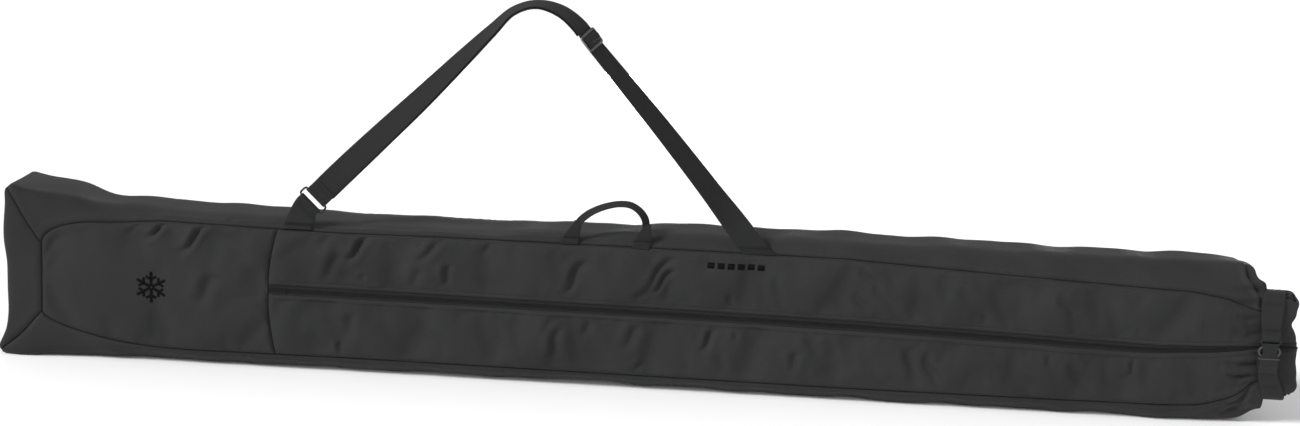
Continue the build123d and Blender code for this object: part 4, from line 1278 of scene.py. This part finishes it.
# Where the strap, its tab and the handle's tabs are sewn down: the X of the hinge line's end,
# the sewn end's X and Z, the widths of both ends in millimetres, thickness and material.
SEWN_ENDS = [
    ("strap_anchor_webbing", 0.1495, 0.157, 0.231, (50.3, 50.5), WEB, WEB_MATERIAL),
    ("ring_tab_foot", RING_TAB_X, RING_TAB_X - 4 * MM, 0.229, (45, 45), 2 * WEB, WEB_MATERIAL),
    ("handle_foot_left", -0.136, -0.138, 0.230, (27, 28), 2.2 * MM, TAB_MATERIAL),
    ("handle_foot_right", -0.025, -0.028, 0.229, (27, 28), 2.2 * MM, TAB_MATERIAL),
]


def make_sewn_ends(surface):
    """The fixed ends of the straps, from their hinge line down on to the front."""
    pieces = []
    for name, top_x, base_x, base_z, (wide, end_wide), thickness, material in SEWN_ENDS:
        base, _ = surface.front(base_x, base_z, thickness / 2)
        above, _ = surface.front((base_x * 2 + top_x) / 3, base_z + 3.5 * MM, thickness * 0.8)
        knots = [(top_x, STRAP_Y, HINGE_Z + 0.6 * MM, wide * MM),
                 (*above, (wide + end_wide) / 2 * MM), (*base, end_wide * MM)]
        line = curve_through(knots, 0.8 * MM)
        piece = flat_strap(name, line, thickness, material)
        pieces.append(piece)
    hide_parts("strap_anchor")
    return pieces


BADGE_AT = (-784 * MM, 125 * MM)
BADGE_R = 25 * MM
MARK_AT = (122 * MM, 211 * MM)
MARK_PITCH = 15.6 * MM
MARK_HALF = 5.4 * MM


def print_patch(surface, start, end, width, lift=0.25 * MM):
    """A thin painted bar on the skin, from start to end (x, z)."""
    start, end = np.array(start, float), np.array(end, float)
    run = end - start
    side = np.array([-run[1], run[0]]) / np.hypot(*run)
    count = max(2, int(np.hypot(*run) / (2 * MM)) + 1)
    points, faces = [], []
    for share in np.linspace(0, 1, count):
        for way in (-1, 0, 1):
            x, z = start + run * share + side * way * width / 2
            points.append(surface.front(x, z, lift)[0])
    for row in range(count - 1):
        for column in range(2):
            a = row * 3 + column
            faces.append((a, a + 1, a + 4, a + 3))
    return points, faces


def make_prints(surface):
    """A plain six-armed snow crystal on the nose and a row of six plain squares on the side."""
    arms = []
    centre = np.array(BADGE_AT)
    for arm in range(6):
        angle = math.radians(30 + 60 * arm)
        way = np.array([math.cos(angle), math.sin(angle)]) * BADGE_R
        arms.append(print_patch(surface, centre + way * 0.06, centre + way, 4.4 * MM))
        root = centre + way * 0.52
        for turn in (-60, 60):
            lean = angle + math.radians(turn)
            fork = np.array([math.cos(lean), math.sin(lean)]) * BADGE_R
            arms.append(print_patch(surface, root, root + fork * 0.36, 3.8 * MM))
    squares = []
    for number in range(6):
        x, z = MARK_AT[0] + (number - 2.5) * MARK_PITCH, MARK_AT[1]
        squares.append(print_patch(surface, (x - MARK_HALF, z), (x + MARK_HALF, z), 9 * MM))
    badge = merged("nose_badge_print", arms, PRINT_MATERIAL)
    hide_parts("nose_badge")
    mark = merged("side_mark_print", squares, PRINT_MATERIAL)
    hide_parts("side_mark")
    for piece in (badge, mark):
        thicken(piece, 0.15 * MM)
        settle(piece)
    return [badge, mark]


# ---- Rolled mouth -------------------------------------------------------------------------
ROLL_TURNS = 2.4
ROLL_STEP = 6.2 * MM  # the layers' spacing
ROLL_CLOTH = 3.0 * MM  # both walls of the collar
ROLL_POWER = 2 / 2.7  # roundness of its section: 1 for an ellipse, less for a squarer one
# How far its outer edge is pushed in at each height, in millimetres.
ROLL_DENTS = [(49, -11), (63, -1), (105, -6), (145, -12), (158, -16), (165, -23), (178, -17),
              (200, -14), (209, -18), (214, -23)]
STRAP_X = 0.955  # where the closure straps press on it


def make_roll():
    """The collar's flattened end, wound up loosely, with uneven ends."""
    low, high = ROLL_LOW, ROLL_HIGH
    centre = Vector(((low.x + high.x) / 2, (low.y + high.y) / 2, 0))
    half = ((high.x - low.x) / 2 - ROLL_CLOTH / 2, (high.y - low.y) / 2 - ROLL_CLOTH / 2)
    turn = np.linspace(-0.92 * math.pi, (2 * ROLL_TURNS - 1) * math.pi, 190)
    level = np.linspace(0, 1, 61)
    angle, up = np.meshgrid(turn, level, indexing="ij")
    wound = (angle + math.pi) / (2 * math.pi)
    first = np.clip(1.15 - wound, 0, 1)
    front_right = np.exp(-((np.mod(angle, 2 * math.pi) - 1.82 * math.pi) / 0.75) ** 2)
    top = high.z + (2.5 * np.sin(angle * 1.3) - 9.0 * front_right * first) * MM
    bottom = low.z + (2.0 * np.sin(angle * 1.1 + 1) + 12.0 * front_right * first) * MM
    z = bottom + (top - bottom) * up
    reach_x = half[0] - ROLL_STEP * wound
    reach_y = half[1] - ROLL_STEP * wound * 0.92
    c, s = np.cos(angle), np.sin(angle)
    x = centre.x + reach_x * np.sign(c) * np.abs(c) ** ROLL_POWER
    y = centre.y + reach_y * np.sign(s) * np.abs(s) ** ROLL_POWER
    dent_z, dent = np.array(ROLL_DENTS).T * MM
    dents = sum(np.interp(z + d * MM, dent_z, dent) for d in (-5, -2.5, 0, 2.5, 5)) / 5
    x += dents * np.clip(c, 0, 1)
    flare = np.clip(np.abs(up - 0.5) * 2 - 0.72, 0, 1) / 0.28
    y += -1.8 * MM * flare * np.clip(c + 0.4, 0, 1)
    points = np.stack([x, y, z], axis=-1).reshape(-1, 3)
    waves = np.sin(z / MM / 4.1 + 3 * np.sin(angle * 1.7) + x / MM / 9) * 0.55
    waves += np.sin(z / MM / 9.7 - angle * 2.1) * 0.8
    strapped = bell(x - STRAP_X, 0.02)
    outward = np.stack([c, s, np.zeros_like(c)], axis=-1).reshape(-1, 3)
    points += outward * (waves * (1 - 0.5 * strapped)).reshape(-1, 1) * 0.8 * MM
    quads = grid_quads(*angle.shape)
    middle = x.shape[1] // 2
    run = lengths(np.stack([x[:, middle], y[:, middle]], axis=1))
    uv = np.stack([np.broadcast_to(run[:, None], z.shape), z], axis=-1).reshape(-1, 2)
    roll = mesh_object("rolled_collar_cloth", points, quads, uv[quads.ravel()], CLOTH_MATERIAL)
    thicken(roll, ROLL_CLOTH, 0)
    edge = roll.modifiers.new("edge", "BEVEL")
    edge.width = 0.9 * MM
    edge.segments = 3
    edge.limit_method = "ANGLE"
    edge.angle_limit = math.radians(60)
    settle(roll)
    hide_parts("rolled_collar")
    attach(roll, "roll")
    return roll


def roll_course(surface, height, lift, step):
    """Points and normals round the roll at a height, from under the buckle past its outer edge."""
    middle, half = (ROLL_LOW + ROLL_HIGH) / 2, (ROLL_HIGH - ROLL_LOW) / 2
    hits = []
    for angle in np.linspace(-0.53 * math.pi, -0.04 * math.pi, 60):
        c, s = math.cos(angle), math.sin(angle)
        x = middle.x + half.x * math.copysign(abs(c) ** ROLL_POWER, c)
        y = middle.y + half.y * math.copysign(abs(s) ** ROLL_POWER, s)
        hits.append(np.concatenate(surface.nearest((x, y, ZIP_Z + height), lift)))
    hits = np.array(hits)
    run = lengths(hits[:, :3])
    at = np.arange(0, run[-1], step)
    even = np.stack([np.interp(at, run, column) for column in hits.T], axis=1)
    return even[:, :3], even[:, 3:]


def make_roll_zip(roll):
    """The zip where it shows on the outside of the roll."""
    surface = Surface(roll)
    for name, way in (("upper", 1), ("lower", -1)):
        line, _ = roll_course(surface, way * 4.1 * MM, 0.25 * MM, 2 * MM)
        up = np.tile((0, 0, 1.0), (len(line), 1))
        tape = ribbon(f"roll_zip_{name}", line, up, 7 * MM, 1.0 * MM, TAPE_MATERIAL)
        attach(tape, "roll")
        if name == "upper":
            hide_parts("zipper_tail")
    line, normals = roll_course(surface, 0, 1.0 * MM, COIL_PITCH / 8)
    angle = np.arange(len(line)) * math.pi / 4
    path = line + normals * (0.7 * MM * np.cos(angle))[:, None]
    path[:, 2] += 1.7 * MM * np.sin(angle)
    coil = wire("roll_zip_coil", path, COIL_WIRE, COIL_MATERIAL, 5)
    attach(coil, "roll")


# ---- Closure straps and buckle ---------------------------------------------------------------
BUCKLE_X = 955 * MM
BUCKLE_FRONT_Y = -78.5 * MM
# The closure's straps, as x, y, z and width in millimetres: the tab over the top of the roll, the
# lower strap, and the lower strap's fold round the buckle's plug.
UPPER_STRAP = [
    (955, -77.4, 162, 29), (955, -77.6, 150, 29), (955, -76.4, 145.2, 29), (955, -73.2, 145.4, 29),
    (955, -72.4, 151, 29), (955.5, -70.5, 163, 30), (956, -66, 178, 33), (956.5, -61.5, 192, 34.5),
    (957.5, -58.6, 205, 35), (959, -54, 213.6, 35), (960, -46, 217, 35), (960, -34, 217.6, 35),
    (960, -22, 215, 35), (960, -13.5, 208, 34), (960, -11.6, 190, 33),
]
LOWER_STRAP = [
    (956.5, -70.9, 97, 30), (959, -68, 90, 31), (965, -62, 76, 33), (971.5, -58.8, 62, 35),
    (975, -56.4, 52, 36), (976, -50, 46, 36), (976, -40, 43.6, 36), (975, -26, 44, 35),
    (973, -14.5, 50, 34), (971, -11.8, 68, 33),
]
PLUG_FOLD = [
    (955, -74.6, 117, 29), (955, -77.4, 115.6, 29), (955, -78.2, 110, 29), (955, -77.2, 104.8, 29),
    (955.8, -75.0, 100, 29.3), (957.6, -71.9, 93, 30),
]
# Rows of stitches on them: middle x, y, z and length in millimetres.
CLOSURE_ROWS = [
    (955, -78.5, 159.5, 24), (955, -78.6, 157, 24), (955, -60.4, 203, 29), (955, -61, 200, 29),
    (968.5, -60.6, 66, 28), (968.5, -61.3, 69, 28),
]


def make_closure():
    """The straps in front of the roll, the plug's fold and their stitches."""
    for name, knots, body in (("upper", UPPER_STRAP, "roll"), ("lower", LOWER_STRAP, "roll"),
                              ("fold", PLUG_FOLD, "buckle_plug")):
        line = curve_through(np.array(knots) * MM, 1.5 * MM)
        piece = flat_strap(f"closure_{name}_webbing", line, WEB, CLOSURE_MATERIAL)
        if name != "fold":
            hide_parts(f"closure_strap_{name}")
        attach(piece, body)
    stitches = []
    for x, y, z, long in CLOSURE_ROWS:
        stitches += level_stitches(x, long / 2, y, z, 9)
    thread = merged("closure_stitches", stitches, THREAD_MATERIAL)
    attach(thread, "roll")


def mirrored(half):
    """A closed outline about the buckle's middle from its right half, top to bottom."""
    right = [(BUCKLE_X + u * MM, z * MM) for u, z in half]
    left = [(BUCKLE_X - u * MM, z * MM) for u, z in reversed(half)]
    return right + left


SOCKET = [(17, 149), (17.4, 146), (14.6, 141), (12.2, 138.5), (11.2, 134), (11.2, 124),
          (12.4, 121), (15.5, 119.4), (15.5, 118.4)]
SOCKET_LOOPS = [(SOCKET, 1.6), ([(13.4, 146), (13.4, 142.6)], 1)]
PLUG = [(16.6, 117.8), (16.9, 112), (16.4, 105.6), (15, 104)]
# The buckle's plates: name, right halves of the outline and holes with their corner radii, then
# the front's place behind the buckle's front, the depth and the edges' radius, in millimetres.
BUCKLE_PLATES = [
    ("socket_front", SOCKET_LOOPS, 0, 2.2, 0.7, PLASTIC_MATERIAL, "roll"),
    ("socket_back", SOCKET_LOOPS, 6.0, 1.8, 0.6, PLASTIC_MATERIAL, "roll"),
    ("socket_core", [([(8.4, 140.5), (8.4, 137.2)], 0.8)], 1.6, 5.0, 0.5, PLASTIC_MATERIAL, "roll"),
    ("plug_frame", [(PLUG, 1.6), ([(14.6, 115.4), (14.6, 106.4)], 1)], 1.5, 6.0, 0.8,
     PLASTIC_MATERIAL, "buckle_plug"),
    # The plug's lip is in the lighter acetal: painted highlight along its edge.
    ("plug_lip", [([(16.4, 118.6), (16.4, 116.2)], 1)], -0.4, 8.6, 0.8, HIGHLIGHT_EDGE_MATERIAL,
     "buckle_plug"),
    ("plug_tongue", [([(2, 134), (2.4, 118)], 0.8)], 2.5, 3.2, 0.5, PLASTIC_MATERIAL,
     "buckle_plug"),
]
PRONG = [(8.4, 118.6), (11.8, 118.6), (14.6, 121.5), (17.6, 125.5), (18.2, 129.5), (16.8, 133),
         (13.2, 136.6), (9.6, 136.6), (9.4, 134.8), (12.2, 133.2), (14.2, 130.8), (14.8, 128.4),
         (13.6, 125.4), (10.8, 122.4)]


def make_buckle():
    """Side-release buckle: a waisted socket, a plug with a bar, and two sprung arms."""
    for name, halves, behind, depth, bevel, material, body in BUCKLE_PLATES:
        loops = [rounded_loop(mirrored(half), radius * MM) for half, radius in halves]
        piece = plate(f"buckle_{name}", loops, BUCKLE_FRONT_Y + behind * MM, depth * MM, bevel * MM,
                      material)
        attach(piece, body)
    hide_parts("buckle_socket")
    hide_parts("buckle_plug")
    for name, way in (("left", -1), ("right", 1)):
        outline = [(BUCKLE_X + way * u * MM, z * MM) for u, z in PRONG]
        # The arms are in the lighter acetal: painted highlight on their edges.
        arm = plate(f"buckle_arm_{name}_prong", [rounded_loop(outline, 1.2 * MM)],
                    BUCKLE_FRONT_Y + 2.0 * MM, 4.0 * MM, 0.7 * MM, HIGHLIGHT_EDGE_MATERIAL)
        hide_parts(f"buckle_arm_{name}")
        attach(arm, f"buckle_arm_{name}")


# ---- Painted seam shade, bindings and topstitching --------------------------------------------
# Dark beads along the seams are painted shade: they stand for the shadow at the bottom of each
# seam's valley.
SEAM_SHADE_R = 0.75 * MM
SEAM_SHADE_LIFT = 0.3 * MM
STITCH_OFF = 4.5 * MM  # from a seam to the stitches beside it
HEM_STITCH_OFF = 3 * MM
STITCH_END_X = 0.925
HEM_STITCH_END_X = 0.93


def make_seam_shade_lines(skin):
    """A narrow dark bead at the bottom of every seam between two panels: painted shade standing in
    for the shadow in each seam's valley.
    """
    work = bmesh.new()
    work.from_mesh(skin.data)
    parts = []
    for edge in work.edges:
        panels = {face.material_index for face in edge.link_faces}
        if len(panels) != 2 or ZIP_BAND in panels:
            continue
        a, b = (np.array(vert.co) for vert in edge.verts)
        out = unit(np.array(edge.verts[0].normal + edge.verts[1].normal))
        extra = (b - a) * 0.12
        lift = out * SEAM_SHADE_LIFT
        parts.append(bead(a - extra + lift, b + extra + lift, out, SEAM_SHADE_R, 0.95))
    work.free()
    shade_lines = merged("seam_shade_lines", parts, BINDING_AND_SEAM_SHADE_MATERIAL)
    return shade_lines


def make_bindings(skin):
    """The tapes that cover the seams' raw edges, standing inwards from each long seam."""
    middle = np.array([0, MID_Y, ZIP_Z])
    for side, family in (("front", (FRONT, UPPER, LOWER)), ("back", (BACK,))):
        for edge, strip, arc in (("upper", TOP, NOSE_TOP_ARC), ("lower", BOTTOM, NOSE_LOW_ARC)):
            line = join_line(skin, family, (strip,), SEAM_LEFT_X + arc[0], NECK_START_X)
            inward = unit((middle - line) * (0, 1, 1))
            tape = ribbon(f"seam_binding_{side}_{edge}_tape", line + inward * 9 * MM, inward,
                          12 * MM, 1.2 * MM, BINDING_AND_SEAM_SHADE_MATERIAL)
            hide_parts(f"seam_binding_{side}_{edge}")
            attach(tape, "bag")


def make_topstitching(skin, surface):
    """Thread beside the long seams, the nose seam and the zip's hems."""
    rows = []
    left = SEAM_LEFT_X + 60 * MM
    for family, strip, drop in (((FRONT, UPPER), (TOP,), -STITCH_OFF),
                                ((FRONT, LOWER), (BOTTOM,), STITCH_OFF)):
        rows.append((join_line(skin, family, strip, left, STITCH_END_X), (0, 0, drop)))
    nose = join_line(skin, (FRONT,), (UPPER, LOWER, ZIP_BAND), NOSE_SEAM_X - 30 * MM,
                     NOSE_SEAM_X + 30 * MM)
    rows.append((nose[np.argsort(nose[:, 2])], (-STITCH_OFF, 0, 0)))
    xs = np.arange(NOSE_SEAM_X + 2 * MM, HEM_STITCH_END_X, 6 * MM)
    y, z = zip_line(xs)
    hem = ZIP_HIGH_Z - ZIP_Z + slot_extra(xs) + HEM_STITCH_OFF
    rows += [(np.stack([xs, y, z + way * hem], axis=1), (0, 0, 0)) for way in (1, -1)]
    stitches = []
    for line, shift in rows:
        stitches += stitch_line(*drawn(line, shift, surface))
    thread = merged("topstitching", stitches, THREAD_MATERIAL)
    return thread


make_camera()
make_studio()
skin = build_skin()
fill_out(skin)
finish_skin(skin)
surface = Surface(skin)

PANELS = [
    ("nose_cloth", (FRONT,), CLOTH_MATERIAL, ("nose_panel",)),
    ("front_upper_cloth", (UPPER,), CLOTH_MATERIAL, ("front_upper_panel", "collar_neck")),
    ("front_lower_cloth", (LOWER,), CLOTH_MATERIAL, ("front_lower_panel", "collar_neck")),
    ("back_cloth", (BACK,), CLOTH_MATERIAL, ("back_panel", "collar_neck")),
    ("top_gusset_cloth", (TOP,), GUSSET_MATERIAL, ("top_gusset", "collar_neck")),
    ("bottom_gusset_cloth", (BOTTOM,), GUSSET_MATERIAL, ("bottom_gusset", "collar_neck")),
    ("end_cloth", (END,), GUSSET_MATERIAL, ("end_panel",)),
]
crossing = []
for name, panels, material, nodes in PANELS:
    piece = panel_piece(skin, name, panels, material)
    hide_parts(*nodes)
    if "collar_neck" in nodes:
        crossing.append(piece)
    else:
        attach(piece, "bag")
crossing += make_zip()
make_bindings(skin)
crossing += [make_topstitching(skin, surface), make_seam_shade_lines(skin)]
for piece in crossing:
    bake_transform(piece)
for piece in make_sewn_ends(surface) + make_prints(surface):
    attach(piece, "bag")
bpy.data.objects.remove(skin)

make_strap()
make_adjuster()
make_handle()
roll = make_roll()
make_roll_zip(roll)
make_closure()
make_buckle()

KEPT = {"mouth_stiffener": STIFFENER_MATERIAL, "zipper_end_stop": SLIDER_MATERIAL,
        "zipper_slider": SLIDER_MATERIAL, "zipper_pull": PULL_MATERIAL}
for name, material in KEPT.items():
    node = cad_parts[name]
    node.data.materials.clear()
    node.data.materials.append(material)
